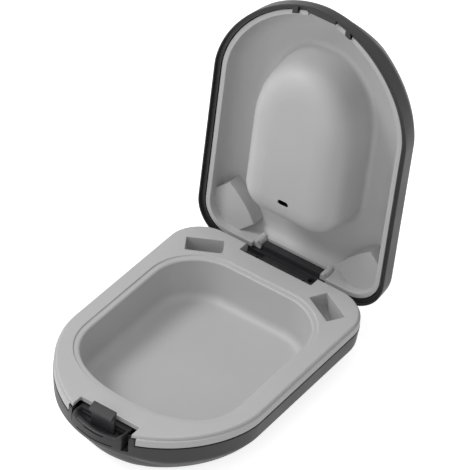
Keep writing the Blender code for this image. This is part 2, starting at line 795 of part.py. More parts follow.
def grip_groove(name, half_length, drop, parent):
    front_offset = SHELL_STEP + BUTTON_PROUD
    z = CASE_HEIGHT - drop
    return arch_block(
        name,
        BUTTON_MIDDLE_X - half_length,
        BUTTON_MIDDLE_X + half_length,
        front_offset + OVERRUN,
        front_offset - GRIP_GROOVE_DEPTH,
        z - GRIP_GROOVE_WIDTH / 2,
        z + GRIP_GROOVE_WIDTH / 2,
        parent,
    )


def make_latch_button(material, parent):
    button = button_body(material, parent)
    cut(button, scoop_cutter(parent))
    shelf_cut = box(
        "button_back_step",
        (-PLATE_HALF_WIDTH, HOOK_BACK_Y, BUTTON_BACK_TOP_Z),
        (PLATE_HALF_WIDTH, 0, CASE_HEIGHT + OVERRUN),
        parent,
    )
    cut(button, shelf_cut)
    hook = side_prism(
        "hook_body", hook_profile(), -HOOK_HALF_WIDTH, HOOK_HALF_WIDTH, parent=parent
    )
    add(button, hook, button_ears(parent), button_ledge(parent))
    cut(
        button,
        grip_groove("grip_groove_long", LONG_GROOVE_HALF_LENGTH, LONG_GROOVE_DROP, parent),
        grip_groove("grip_groove_short", SHORT_GROOVE_HALF_LENGTH, SHORT_GROOVE_DROP, parent),
    )

    def peg(side, sign):
        name = f"button_peg_{side}"
        made = peg_at(name, sign * SPRING_X, BUTTON_BACK_Y, BUTTON_BACK_Y + PEG_LENGTH)
        made.parent = parent
        made.location = -parent.location
        return made

    add(button, *on_both_sides(peg))
    return button


def make_latch_spring(side, sign, material):
    """Coil spring along Y between the button's back and its seat in the shell."""
    front_y = BUTTON_BACK_Y + FIT_GAP + SPRING_WIRE_RADIUS
    back_y = SPRING_SEAT_Y - FIT_GAP - SPRING_WIRE_RADIUS
    count = SPRING_TURNS * SPRING_STEPS
    curve = bpy.data.curves.new(f"latch_spring_{side}", "CURVE")
    curve.dimensions = "3D"
    curve.bevel_depth = SPRING_WIRE_RADIUS
    curve.bevel_resolution = 1
    curve.use_fill_caps = True
    curve.materials.append(material)
    spline = curve.splines.new("POLY")
    spline.points.add(count)
    for number, point in enumerate(spline.points):
        angle = 2 * math.pi * number / SPRING_STEPS
        x = sign * SPRING_X + SPRING_RADIUS * math.cos(angle)
        y = front_y + (back_y - front_y) * number / count
        z = SPRING_Z + SPRING_RADIUS * math.sin(angle)
        point.co = (x, y, z, 1)
    spring = bpy.data.objects.new(curve.name, curve)
    bpy.context.scene.collection.objects.link(spring)
    return spring


# Lid, modelled closed and turned open by its pivot

def lid_ring(level):
    """Ring of the lid's outline. A level is (offset, height, rounding, drop, inset) at the front."""
    offset, z, _, drop, inset = level
    return front_ring(offset, z, -drop, inset)


def lid_inner_profile(gap):
    """Inside of the lid's shell from its step to its top, or a line this far inside it."""
    step_offset = SHELL_STEP - LID_LIP_THICKNESS - LID_STEP_WIDTH
    bevel_offset = SHELL_STEP - SHELL_DRAFT - LID_BEVEL_INSET - SHELL_WALL
    wall_top_z = LID_RIM_Z + LID_WALL_HEIGHT - SHELL_WALL / 2
    bevel_top_z = wall_top_z + LID_BEVEL_HEIGHT
    return [
        (step_offset - gap, LID_RIM_Z + LID_LIP_HEIGHT, 0, 0, 0),
        (step_offset - gap, wall_top_z - gap, 0, FRONT_WALL_RISE, 0),
        (bevel_offset - gap, bevel_top_z - gap, 0, FRONT_BEVEL_RISE, FRONT_BEVEL_INSET),
        (bevel_offset - LID_TOP_INSET - gap, LID_INNER_TOP_Z - gap, 0, 0, FRONT_FOOT_INSET),
    ]


def lid_shell_body(material, pivot):
    wall_offset = SHELL_STEP - SHELL_DRAFT
    bevel_offset = wall_offset - LID_BEVEL_INSET
    lip_offset = SHELL_STEP - LID_LIP_THICKNESS
    wall_top_z = LID_RIM_Z + LID_WALL_HEIGHT
    crown = rounded_profile([
        (bevel_offset - LID_TOP_INSET, LID_RIM_Z + LID_DEPTH, 0),
        (bevel_offset, wall_top_z + LID_BEVEL_HEIGHT, LID_TOP_ROUNDING),
        (wall_offset, wall_top_z, 0),
    ])
    rings = underside_rings(crown[::-1], -1)[::-1]
    rings += [
        case_ring(SHELL_STEP, LID_RIM_Z),
        case_ring(lip_offset, LID_RIM_Z),
        case_ring(lip_offset, LID_RIM_Z + LID_LIP_HEIGHT),
    ]
    rings += [lid_ring(level) for level in lid_inner_profile(0)]
    return loft("lid_shell", rings, material, pivot)


def add_lid_knuckle(shell, pivot):
    arm_rear_y = PLATE_REAR_Y + SHELL_STEP - BITE / 6
    arm = box(
        "hinge_arm",
        (-LID_KNUCKLE_HALF_LENGTH, arm_rear_y - HINGE_ARM_THICKNESS, HINGE_Z),
        (LID_KNUCKLE_HALF_LENGTH, arm_rear_y, LID_RIM_Z + LID_LIP_HEIGHT + BITE),
        pivot,
    )
    barrel = side_prism(
        "lid_barrel",
        barrel_profile(BARREL_RADIUS),
        -LID_KNUCKLE_HALF_LENGTH,
        LID_KNUCKLE_HALF_LENGTH,
        parent=pivot,
    )
    bore_half_length = LID_KNUCKLE_HALF_LENGTH + OVERRUN
    bore = side_prism(
        "lid_bore",
        barrel_profile(PIN_RADIUS + FIT_GAP),
        -bore_half_length,
        bore_half_length,
        parent=pivot,
    )
    boss_half_width = RIB_X - RIB_RADIUS - FIT_GAP
    boss = box(
        "hinge_boss",
        (-boss_half_width, PLATE_REAR_Y - HINGE_BOSS_FROM_REAR, LID_RIM_Z + HINGE_BOSS_START),
        (boss_half_width, PLATE_REAR_Y - HINGE_BOSS_BITE, LID_RIM_Z + HINGE_BOSS_DEPTH),
        pivot,
    )
    add(shell, boss, arm, barrel)
    cut(shell, bore)


def hook_room_profile(low_z):
    """Room for the hook in the lid's front wall, a little above its sloping top."""
    high_z = CASE_HEIGHT + HOOK_TOP_RISE + FIT_GAP
    return [
        (HOOK_TIP_Y, low_z),
        (HOOK_BACK_Y + FIT_GAP, low_z),
        (HOOK_BACK_Y + FIT_GAP, high_z),
        (HOOK_BACK_Y - HOOK_FLAT, high_z),
        (HOOK_TIP_Y, CASE_HEIGHT + HOOK_TIP_TOP_RISE + FIT_GAP),
    ]


def add_lid_catch(shell, pivot):
    relief_low_z = LID_RIM_Z + CATCH_HEIGHT
    relief = arch_block(
        "catch_relief",
        -CATCH_HALF_WIDTH,
        CATCH_HALF_WIDTH,
        -CATCH_RELIEF,
        -OVERRUN,
        relief_low_z,
        CASE_HEIGHT + HOOK_TIP_TOP_RISE + FIT_GAP,
        pivot,
    )
    hook_room = side_prism(
        "hook_room",
        hook_room_profile(relief_low_z),
        -CATCH_HALF_WIDTH,
        CATCH_HALF_WIDTH,
        parent=pivot,
    )
    catch = front_block(
        "lid_catch",
        -CATCH_HALF_WIDTH,
        CATCH_HALF_WIDTH,
        (SHELL_STEP - LID_LIP_THICKNESS) + LID_LIP_THICKNESS / 2,
        CATCH_BACK_Y,
        LID_RIM_Z,
        relief_low_z,
        pivot,
    )
    cut(shell, relief, hook_room)
    add(shell, catch)

    def tongue(side, sign):
        xs = sorted((sign * TONGUE_INNER_X, sign * TONGUE_OUTER_X))
        outer = SHELL_STEP - LID_LIP_THICKNESS / 2
        low_z = LID_RIM_Z + FIT_GAP
        return arch_block(
            f"lid_tongue_{side}", *xs, outer, -TONGUE_REACH, low_z, low_z + TONGUE_HEIGHT, pivot
        )

    add(shell, *on_both_sides(tongue))


def make_lid_shell(material, pivot):
    shell = lid_shell_body(material, pivot)
    add_lid_knuckle(shell, pivot)
    add_lid_catch(shell, pivot)
    return shell


def lid_liner_body(material, pivot):
    rim_z = LID_RIM_Z + LID_LIP_HEIGHT
    floor_z = LID_TRAY_FLOOR_Z
    outside = lid_inner_profile(FIT_GAP)
    rim_inner = outside[0][0] - LID_TRAY_RIM_WIDTH
    inside = rounded_profile([
        (rim_inner, rim_z, 0),
        (rim_inner, floor_z, LID_TRAY_ROUNDING),
        (rim_inner - LID_TRAY_FLOOR_INSET, floor_z, 0),
    ])
    dome_side = rounded_profile([
        (DOME_FOOT_ROUNDING, floor_z, 0),
        (0, floor_z, DOME_FOOT_ROUNDING),
        (-DOME_DRAFT, DOME_FACE_Z, DOME_EDGE_ROUNDING),
        (-DOME_DRAFT - DOME_EDGE_ROUNDING - DOME_FACE_LAND, DOME_FACE_Z, 0),
    ])
    cavity_side = rounded_profile([
        (-DOME_DRAFT - DOME_EDGE_ROUNDING, DOME_FACE_Z + LID_TRAY_WALL, 0),
        (-DOME_DRAFT - LID_TRAY_WALL, DOME_FACE_Z + LID_TRAY_WALL, DOME_CAVITY_ROUNDING),
        (-LID_TRAY_WALL, floor_z + LID_TRAY_WALL, 0),
    ])
    rings = [dome_ring(offset, z) for offset, z in cavity_side]
    rings += [lid_ring(level) for level in reversed(outside)]
    for offset, z in inside:
        depth_share = max(0, 1 - (floor_z - z) / LID_TRAY_ROUNDING)
        rings.append(front_ring(offset, z, 0, FRONT_TRAY_INSET * math.sqrt(depth_share)))
    rings += [dome_ring(offset, z) for offset, z in dome_side[1:]]
    return loft("lid_liner", rings, material, pivot)


def pad_ring(sign, offset, z):
    """Outline of a pad, filling the rear corner of the tray out to this offset."""
    radius = REAR_CORNER_RADIUS + offset
    corner_x = PLATE_HALF_WIDTH - REAR_CORNER_RADIUS
    corner_y = PLATE_REAR_Y - REAR_CORNER_RADIUS
    inner = Vector((PLATE_HALF_WIDTH - PAD_INNER_FROM_SIDE, PLATE_REAR_Y - PAD_INNER_FROM_REAR))
    outer = Vector((PLATE_HALF_WIDTH - PAD_OUTER_FROM_SIDE, PLATE_REAR_Y - PAD_OUTER_FROM_REAR))
    along = (outer - inner).normalized()
    outwards = Vector((-along.y, along.x))
    ring = []
    last = len(PAD_BULGE_SHARES) - 1
    for number, share in enumerate(PAD_BULGE_SHARES):
        ring.append(inner.lerp(outer, number / last) - outwards * PAD_BULGE * share)
    ring.append(outer + outwards * ((corner_x + radius - outer.x) / outwards.x))
    for step in range(CORNER_STEPS + 1):
        angle = math.pi / 2 * step / CORNER_STEPS
        ring.append((corner_x + radius * math.cos(angle), corner_y + radius * math.sin(angle)))
    ring.append(inner + outwards * ((corner_y + radius - inner.y) / outwards.y))
    return [Vector((sign * x, y, z)) for x, y in ring]


def pad_levels():
    """Offset and height of each ring of a pad, from its face down into the tray's floor."""
    profile = lid_inner_profile(FIT_GAP + LID_TRAY_WALL * PAD_EDGE_SHARE)
    wall, foot, crown = [Vector(level[:2]) for level in profile[1:]]
    low_z = LID_TRAY_FLOOR_Z + BITE / 2
    face = Vector((wall.x, CASE_HEIGHT + PAD_CLOSED_HEIGHT))
    return [face, wall, foot, foot.lerp(crown, (low_z - foot.y) / (crown.y - foot.y))]


def add_cell_pads(liner, pivot):
    def pad(side, sign):
        rings = [pad_ring(sign, offset, z) for offset, z in pad_levels()]
        return loft(f"cell_pad_{side}", rings, parent=pivot, helper=True)

    add(liner, *on_both_sides(pad))


def add_hinge_ribs(liner, pivot):
    """Round ribs beside the hinge, with narrower ends that stay inside the tray's wall."""
    wall, foot = [Vector(level[:2]) for level in lid_inner_profile(FIT_GAP)[1:3]]
    rim_z = LID_RIM_Z + LID_LIP_HEIGHT
    end_z = rim_z + RIB_LENGTH
    end_shift = (foot.x - wall.x) * (end_z - wall.y) / (foot.y - wall.y)
    rib_y = PLATE_REAR_Y - RIB_FROM_REAR
    levels = [
        (0, rim_z, RIB_RADIUS),
        (0, wall.y, RIB_RADIUS),
        (end_shift, end_z, RIB_RADIUS * RIB_END_SHARE),
    ]

    def rib(side, sign):
        rings = [
            [Vector((x, y, z)) for x, y in circle((sign * RIB_X, rib_y + back), radius)]
            for back, z, radius in levels
        ]
        return loft(f"hinge_rib_{side}", rings, parent=pivot, helper=True)

    add(liner, *on_both_sides(rib))


def cut_lid_liner_notches(liner, pivot):
    rim_z = LID_RIM_Z + LID_LIP_HEIGHT
    half_width = RIB_X - RIB_RADIUS
    boss_notch = box(
        "hinge_boss_notch",
        (-half_width, PLATE_REAR_Y - BOSS_NOTCH_FROM_REAR, rim_z - OVERRUN),
        (half_width, PLATE_REAR_Y + OVERRUN, LID_RIM_Z + HINGE_BOSS_DEPTH + FIT_GAP),
        pivot,
    )
    rim_half_width = RIB_X + RIB_RADIUS
    rim_notch = box(
        "hinge_rim_notch",
        (-rim_half_width, PLATE_REAR_Y - BOSS_NOTCH_FROM_REAR, rim_z - OVERRUN),
        (rim_half_width, PLATE_REAR_Y + OVERRUN, rim_z + RIM_NOTCH_DEPTH),
        pivot,
    )
    pocket_half_width = CATCH_HALF_WIDTH + FIT_GAP
    hook_pocket = box(
        "hook_pocket",
        (-pocket_half_width, PLATE_FRONT_Y - OVERRUN, rim_z - OVERRUN),
        (pocket_half_width, HOOK_POCKET_BACK_Y, CASE_HEIGHT + HOOK_TOP_RISE + SLIDE_GAP),
        pivot,
    )
    cut(liner, boss_notch, rim_notch, hook_pocket)

    def tongue_notch(side, sign):
        xs = sorted((sign * (TONGUE_INNER_X - FIT_GAP), sign * (TONGUE_OUTER_X + FIT_GAP)))
        return arch_block(
            f"tongue_notch_{side}",
            *xs,
            OVERRUN,
            -TONGUE_REACH - FIT_GAP,
            rim_z - OVERRUN,
            LID_RIM_Z + FIT_GAP + TONGUE_HEIGHT + FIT_GAP,
            pivot,
        )

    cut(liner, *on_both_sides(tongue_notch))


def cut_dome_slot(liner, pivot):
    end_x = (DOME_SLOT_LENGTH - DOME_SLOT_WIDTH) / 2
    outline = []
    for centre_x, first_angle in ((end_x, -math.pi / 2), (-end_x, math.pi / 2)):
        for step in range(CORNER_STEPS + 1):
            angle = first_angle + math.pi * step / CORNER_STEPS
            x = centre_x + DOME_SLOT_WIDTH / 2 * math.cos(angle)
            outline.append((x, DOME_SLOT_Y + DOME_SLOT_WIDTH / 2 * math.sin(angle)))
    slot = prism("dome_slot", outline, DOME_FACE_Z - OVERRUN, DOME_FACE_Z + OVERRUN, pivot)
    cut(liner, slot)


def make_lid_liner(material, pivot):
    liner = lid_liner_body(material, pivot)
    add_cell_pads(liner, pivot)
    add_hinge_ribs(liner, pivot)
    cut_lid_liner_notches(liner, pivot)
    cut_dome_slot(liner, pivot)
    return liner


def empty_at(name, place):
    made = bpy.data.objects.new(name, None)
    made.location = place
    bpy.context.scene.collection.objects.link(made)
    return made


def build_case():
    clear_scene()
    dark = plastic("charcoal ABS", (0.055, 0.055, 0.058), 0.5)
    pale = plastic("light grey ABS", (0.46, 0.46, 0.46), 0.55)
    steel = plastic("spring steel", (0.62, 0.62, 0.63), 0.3, 1.0)

    make_base_shell(dark)
    make_base_liner(pale)
    make_hinge_pin(steel)

    latch_slide = empty_at("latch_slide", Vector((0, BUTTON_BACK_Y, SPRING_Z)))
    make_latch_button(dark, latch_slide)
    on_both_sides(lambda side, sign: make_latch_spring(side, sign, steel))

    lid_pivot = empty_at("lid_pivot", Vector((0, HINGE_Y, HINGE_Z)))
    make_lid_shell(dark, lid_pivot)
    make_lid_liner(pale, lid_pivot)
    lid_pivot.rotation_euler.x = -LID_OPEN_ANGLE


build_case()
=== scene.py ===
import math

import bmesh
import bpy
from mathutils import Matrix, Vector


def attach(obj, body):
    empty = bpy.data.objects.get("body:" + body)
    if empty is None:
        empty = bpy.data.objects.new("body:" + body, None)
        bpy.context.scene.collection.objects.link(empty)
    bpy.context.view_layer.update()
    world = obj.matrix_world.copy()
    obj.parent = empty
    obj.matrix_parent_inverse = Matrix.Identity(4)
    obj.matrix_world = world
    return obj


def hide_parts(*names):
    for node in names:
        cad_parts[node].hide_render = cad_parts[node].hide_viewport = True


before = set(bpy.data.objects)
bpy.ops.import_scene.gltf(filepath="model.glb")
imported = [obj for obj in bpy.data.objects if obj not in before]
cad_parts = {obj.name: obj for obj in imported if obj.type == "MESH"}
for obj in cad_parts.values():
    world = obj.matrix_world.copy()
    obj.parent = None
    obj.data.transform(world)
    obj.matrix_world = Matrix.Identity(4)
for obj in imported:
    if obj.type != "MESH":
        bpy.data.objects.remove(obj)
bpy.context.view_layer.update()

# All sizes are in millimetres and take the shut case: z up from the underside, y from button to hinge.
# The lid's pieces are modelled shut as well, and openLid turns them up round the hinge pin.
mm = 0.001
overrun = 4  # how far a cutter passes the surface that it cuts
nearShare = 0.3  # how far in the middle ring of a small rounding lies

smoothness = {
    "archSteps": 88,
    "cornerSteps": 14,
    "archStepLength": 0.7,  # mm
    "fewestArchSteps": 4,
    "largeFrom": 1,  # mm
    "largeRounding": 8,
    "smallRounding": 3,
    "cornerOfBlock": 3,
    "blockCorner": 0.3,
    "sharpestCorner": 0.4,
    "roundSides": 32,
    "wellSteps": 14,
    "padSteps": 12,
    "buttonCorner": 4,
    "buttonFront": 30,
    "buttonRoll": 8,
    "shadeAngle": 32,
    "mergeDistance": 0.004,  # mm
}

caseOutline = {
    "halfWidth": 35.3,
    "rearY": 50.3,
    "cornerRadius": 12.3,
    "archStartY": -14.3,
    "archLength": 36.0,
    "archPower": 1.78,
    "frontY": -50.3,
}

basinOutline = {
    "halfWidth": 30.4,
    "rearY": 39.0,
    "cornerRadius": 19.0,
    "archStartY": -14.3,
    "archLength": 22.7,
    "archPower": 2.3,
}

domeOutline = {
    "halfWidth": 19.2,
    "rearY": 29.6,
    "cornerRadius": 11.2,
    "archStartY": -6.0,
    "archLength": 26.4,
    "archPower": 2.1,
}

# Both shells get slimmer towards the front, where the bevel starts nearer the rim and draws in
frontTaper = {
    "length": 9.3,
    "power": 1.3,
    "creaseRise": 2.2,
    "bevelRise": 1.0,
    "bevelInset": 3.5,
    "endInset": 4.0,
    "trayInset": 5.5,
}

hinge = {
    "y": 49.3,
    "z": 13.9,
    "openAngle": 92,
    "barrelRadius": 1.8,
    "pinRadius": 0.75,
    "gap": 0.3,
    "slideGap": 0.4,
    "lidKnuckleHalfLength": 8.9,
    "baseKnuckleEndX": 13.6,
    "pinHalfLength": 12.9,
    "edge": 0.25,
}


# Outlines and rings

def outlinePoints(shape, offset):  # arched front, straight sides and round rear corners, anticlockwise
    halfWidth = shape["halfWidth"] + offset
    rearY = shape["rearY"] + offset
    radius = shape["cornerRadius"] + offset
    length = shape["archLength"] + offset
    roundness = 2 / shape["archPower"]
    points = []
    for step in range(smoothness["archSteps"] + 1):
        angle = math.pi * step / smoothness["archSteps"]
        across = math.cos(angle)
        x = -halfWidth * math.copysign(abs(across) ** roundness, across)
        y = shape["archStartY"] - length * abs(math.sin(angle)) ** roundness
        points.append((x, y))
    for centreX, firstAngle in ((halfWidth - radius, 0), (radius - halfWidth, math.pi / 2)):
        for step in range(smoothness["cornerSteps"] + 1):
            angle = firstAngle + math.pi / 2 * step / smoothness["cornerSteps"]
            x = centreX + radius * math.cos(angle)
            y = rearY - radius + radius * math.sin(angle)
            points.append((x, y))
    return points


def caseRing(offset, z):
    return [Vector((x, y, z)) for x, y in outlinePoints(caseOutline, offset)]


def basinRing(offset, z):
    return [Vector((x, y, z)) for x, y in outlinePoints(basinOutline, offset)]


def domeRing(offset, z):
    return [Vector((x, y, z)) for x, y in outlinePoints(domeOutline, offset)]


def frontRing(offset, z, rise, inset):  # a ring of the case that rises and draws in at its front
    ring = []
    for point, inner in zip(caseRing(offset, z), caseRing(offset - inset, z)):
        reach = (caseOutline["frontY"] + frontTaper["length"] - point.y) / frontTaper["length"]
        share = max(0, reach) ** frontTaper["power"]
        ring.append(point.lerp(inner, share) + Vector((0, 0, rise * share)))
    return ring


def archY(x, offset):
    share = abs(x) / (caseOutline["halfWidth"] + offset)
    power = caseOutline["archPower"]
    length = caseOutline["archLength"] + offset
    return caseOutline["archStartY"] - length * (1 - share ** power) ** (1 / power)


def archPoints(leftX, rightX, offset):
    count = max(smoothness["fewestArchSteps"], round((rightX - leftX) / smoothness["archStepLength"]))
    xs = [leftX + (rightX - leftX) * step / count for step in range(count + 1)]
    return [Vector((x, archY(x, offset))) for x in xs]


def roundedProfile(corners):  # corners are (offset, z, length of the rounding)
    path = []
    for number, (offset, z, reach) in enumerate(corners):
        here = Vector((offset, z))
        if reach == 0:
            path.append(here)
            continue
        start = here + (Vector(corners[number - 1][:2]) - here).normalized() * reach
        end = here + (Vector(corners[number + 1][:2]) - here).normalized() * reach
        isLarge = reach >= smoothness["largeFrom"]
        steps = smoothness["largeRounding"] if isLarge else smoothness["smallRounding"]
        for step in range(steps + 1):
            share = step / steps
            path.append(start.lerp(here, share).lerp(here.lerp(end, share), share))
    return path


def shellOutsideRings(corners, upwards):  # wall top, crease and rounded bevel of a dark shell
    path = roundedProfile(corners)
    crease = path[1:2 + smoothness["smallRounding"]]
    bevel = path[2 + smoothness["smallRounding"]:]
    rings = [caseRing(*path[0])]
    for offset, z in crease:
        rings.append(frontRing(offset, z, upwards * frontTaper["creaseRise"], 0))
    for number, (offset, z) in enumerate(bevel):
        share = number / (len(bevel) - 1)
        rise = upwards * frontTaper["bevelRise"] * (1 - share)
        inset = frontTaper["bevelInset"] + (frontTaper["endInset"] - frontTaper["bevelInset"]) * share
        rings.append(frontRing(offset, z, rise, inset))
    return rings


# Modelling by operators

def deselectAll():
    bpy.ops.object.select_all(action="DESELECT")


def selectOnly(piece):
    deselectAll()
    piece.select_set(True)
    bpy.context.view_layer.objects.active = piece


def layRing(piece, ring):  # the selected points go to their places on the ring
    builder = bmesh.from_edit_mesh(piece.data)
    place = builder.verts.layers.int["place"]
    for point in builder.verts:
        if point.select:
            point.co = ring[point[place]] * mm
    bmesh.update_edit_mesh(piece.data)


def loftRings(name, rings):  # a circle that is extruded from ring to ring and closed at both ends
    deselectAll()
    bpy.ops.mesh.primitive_circle_add(vertices=len(rings[0]), radius=mm)
    piece = bpy.context.object
    piece.name = piece.data.name = name
    bpy.ops.object.mode_set(mode="EDIT")
    builder = bmesh.from_edit_mesh(piece.data)
    place = builder.verts.layers.int.new("place")
    for number, point in enumerate(builder.verts):
        point[place] = number
    bmesh.update_edit_mesh(piece.data)
    layRing(piece, rings[0])
    bpy.ops.mesh.edge_face_add()
    for ring in rings[1:]:
        bpy.ops.mesh.extrude_edges_move()
        layRing(piece, ring)
    bpy.ops.mesh.edge_face_add()
    bpy.ops.mesh.select_all(action="SELECT")
    bpy.ops.mesh.normals_make_consistent(inside=False)
    if bmesh.from_edit_mesh(piece.data).calc_volume(signed=True) < 0:
        bpy.ops.mesh.flip_normals()
    bpy.ops.object.mode_set(mode="OBJECT")
    return piece


def grown(outline, distance):  # the outline, this much wider all round
    points = []
    for number, here in enumerate(outline):
        before = (here - outline[number - 1]).normalized()
        after = (outline[(number + 1) % len(outline)] - here).normalized()
        normal = Vector((before.y, -before.x))
        across = (normal + Vector((after.y, -after.x))).normalized()
        points.append(here + across * distance / max(smoothness["sharpestCorner"], across.dot(normal)))
    return points


def blockOf(name, outline, levels, along="z"):  # levels are (growth, height) from one end to the other
    rings = []
    for growth, height in levels:
        outer = grown(outline, growth)
        if along == "z":
            rings.append([Vector((u, v, height)) for u, v in outer])
        else:
            rings.append([Vector((height, u, v)) for u, v in outer])
    return loftRings(name, rings)


def softBlock(name, outline, low, high, edge, along="z"):  # its outer edges are rounded by edge
    near = edge * nearShare
    levels = [
        (-edge, low),
        (-near, low + near),
        (0, low + edge),
        (0, high - edge),
        (-near, high - near),
        (-edge, high),
    ]
    return blockOf(name, outline, levels, along)


def flaredCutter(name, outline, low, surface, flare):  # leaves a rounded edge where it meets the surface
    levels = [
        (0, low),
        (0, surface - flare),
        (flare * nearShare, surface - flare * nearShare),
        (flare, surface),
        (flare, surface + overrun),
    ]
    return blockOf(name, outline, levels)


def boxOutline(lowX, lowY, highX, highY, radius=smoothness["blockCorner"]):
    corners = (
        (highX - radius, lowY + radius, -90),
        (highX - radius, highY - radius, 0),
        (lowX + radius, highY - radius, 90),
        (lowX + radius, lowY + radius, 180),
    )
    points = []
    for centreX, centreY, first in corners:
        for step in range(smoothness["cornerOfBlock"] + 1):
            angle = math.radians(first + 90 * step / smoothness["cornerOfBlock"])
            x = centreX + radius * math.cos(angle)
            y = centreY + radius * math.sin(angle)
            points.append(Vector((x, y)))
    return points


def circleOutline(centreU, centreV, radius):
    points = []
    for side in range(smoothness["roundSides"]):
        angle = 2 * math.pi * (side + 0.5) / smoothness["roundSides"]
        points.append(Vector((centreU + radius * math.cos(angle), centreV + radius * math.sin(angle))))
    return points


def archOutline(leftX, rightX, outer, inner):  # a stretch of the arched front between two offsets
    return archPoints(leftX, rightX, outer) + archPoints(leftX, rightX, inner)[::-1]


def frontOutline(leftX, rightX, outer, backY):  # arched in front, flat behind
    return archPoints(leftX, rightX, outer) + [Vector((rightX, backY)), Vector((leftX, backY))]


def frontNotchOutline(halfWidth, backY):  # passes the front of the case
    return boxOutline(-halfWidth, caseOutline["frontY"] - overrun, halfWidth, backY)


def rearNotchOutline(halfWidth, frontY):  # passes the rear of the case
    return boxOutline(-halfWidth, frontY, halfWidth, caseOutline["rearY"] + overrun)


def applyBoolean(piece, tool, operation):
    modifier = piece.modifiers.new(tool.name, "BOOLEAN")
    modifier.operation = operation
    modifier.solver = "EXACT"
    modifier.object = tool
    selectOnly(piece)
    bpy.ops.object.modifier_apply(modifier=modifier.name)
    bpy.data.objects.remove(tool, do_unlink=True)


def cut(piece, *tools):
    for tool in tools:
        applyBoolean(piece, tool, "DIFFERENCE")


def add(piece, *tools):
    for tool in tools:
        applyBoolean(piece, tool, "UNION")


def openLid(piece):
    pivot = Vector((0, hinge["y"], hinge["z"])) * mm
    turn = Matrix.Rotation(-math.radians(hinge["openAngle"]), 4, "X")
    piece.matrix_world = Matrix.Translation(pivot) @ turn @ Matrix.Translation(-pivot)
    selectOnly(piece)
    bpy.ops.object.transform_apply(location=True, rotation=True, scale=True)


def finishPiece(piece, material, body, nodes):
    selectOnly(piece)
    bpy.ops.object.mode_set(mode="EDIT")
    bpy.ops.mesh.select_all(action="SELECT")
    bpy.ops.mesh.remove_doubles(threshold=smoothness["mergeDistance"] * mm)
    bpy.ops.object.mode_set(mode="OBJECT")
    bpy.ops.object.shade_smooth_by_angle(angle=math.radians(smoothness["shadeAngle"]))
    weighted = piece.modifiers.new("faceWeights", "WEIGHTED_NORMAL")
    weighted.keep_sharp = True
    bpy.ops.object.modifier_apply(modifier=weighted.name)
    piece.data.materials.clear()
    piece.data.materials.append(material)
    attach(piece, body)
    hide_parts(*nodes)
    print(f"{piece.name}: {len(piece.data.polygons)} faces")


# Materials

def linearColour(hexColour):
    channels = []
    for start in (1, 3, 5):
        value = int(hexColour[start:start + 2], 16) / 255
        channels.append(value / 12.92 if value <= 0.04045 else ((value + 0.055) / 1.055) ** 2.4)
    return (*channels, 1)


def addNode(owner, kind, inputs=None, settings=None):
    # adds a node, sets its own settings, then fills its inputs with values or with another node's output
    tree = owner.node_tree
    node = tree.nodes.new(kind)
    for name, value in (settings or {}).items():
        setattr(node, name, value)
    for name, value in (inputs or {}).items():
        if isinstance(value, bpy.types.NodeSocket):
            tree.links.new(value, node.inputs[name])
        else:
            node.inputs[name].default_value = value
    return node


def newMaterial(name):
    material = bpy.data.materials.new(name)
    material.use_nodes = True
    material.node_tree.nodes.clear()
    return material


charcoalAbs = {
    "colour": "#29292b",
    "secondColour": "#2f2f31",
    "roughness": 0.45,
    "specular": 0.3,
    "glossSpread": 0.03,
    "grainMm": 0.35,  # the spark-eroded grain is nearer 0.12 mm, drawn coarser so that it shows
    "grainDepthMm": 0.02,
    "mottleMm": 9,
}

lightGreyAbs = {
    "colour": "#bbbbbb",
    "secondColour": "#b5b5b5",
    "roughness": 0.5,
    "specular": 0.5,
    "glossSpread": 0.03,
    "grainMm": 0.4,  # real grain about 0.1 mm, drawn coarser so that it shows
    "grainDepthMm": 0.01,
    "mottleMm": 14,
}

springSteel = {
    "colour": "#c6c7c9",
    "secondColour": "#aeb0b3",
    "roughness": 0.28,
    "drawLineMm": 0.12,
    "lineStretch": (0.05, 1, 1),
    "lineDepthMm": 0.004,
}


def mouldedAbs(name, finish):
    # ABS moulded against a spark-eroded steel surface: an even satin skin with a very fine grain,
    # a hardly visible unevenness of gloss from the flow of the plastic, and no metal in it
    material = newMaterial(name)
    place = addNode(material, "ShaderNodeTexCoord").outputs["Object"]
    grain = addNode(material, "ShaderNodeTexNoise", {
        "Vector": place,
        "Scale": 1 / (finish["grainMm"] * mm),
        "Detail": 3.0,
        "Roughness": 0.6,
    })
    mottle = addNode(material, "ShaderNodeTexNoise", {
        "Vector": place,
        "Scale": 1 / (finish["mottleMm"] * mm),
        "Detail": 2.0,
    })
    colour = addNode(material, "ShaderNodeMix", {
        "Factor": mottle.outputs["Fac"],
        6: linearColour(finish["colour"]),
        7: linearColour(finish["secondColour"]),
    }, {"data_type": "RGBA"})
    gloss = addNode(material, "ShaderNodeMapRange", {
        "Value": mottle.outputs["Fac"],
        "From Min": 0.3,
        "From Max": 0.7,
        "To Min": finish["roughness"] - finish["glossSpread"],
        "To Max": finish["roughness"] + finish["glossSpread"],
    })
    bump = addNode(material, "ShaderNodeBump", {
        "Height": grain.outputs["Fac"],
        "Strength": 0.5,
        "Distance": finish["grainDepthMm"] * mm,
    })
    shader = addNode(material, "ShaderNodeBsdfPrincipled", {
        "Base Color": colour.outputs[2],
        "Roughness": gloss.outputs["Result"],
        "IOR": 1.54,
        "Specular IOR Level": finish["specular"],
        "Normal": bump.outputs["Normal"],
    })
    addNode(material, "ShaderNodeOutputMaterial", {"Surface": shader.outputs["BSDF"]})
    return material


def mouldedCharcoalAbs():
    return mouldedAbs("mouldedCharcoalAbs", charcoalAbs)


def mouldedLightGreyAbs():
    return mouldedAbs("mouldedLightGreyAbs", lightGreyAbs)


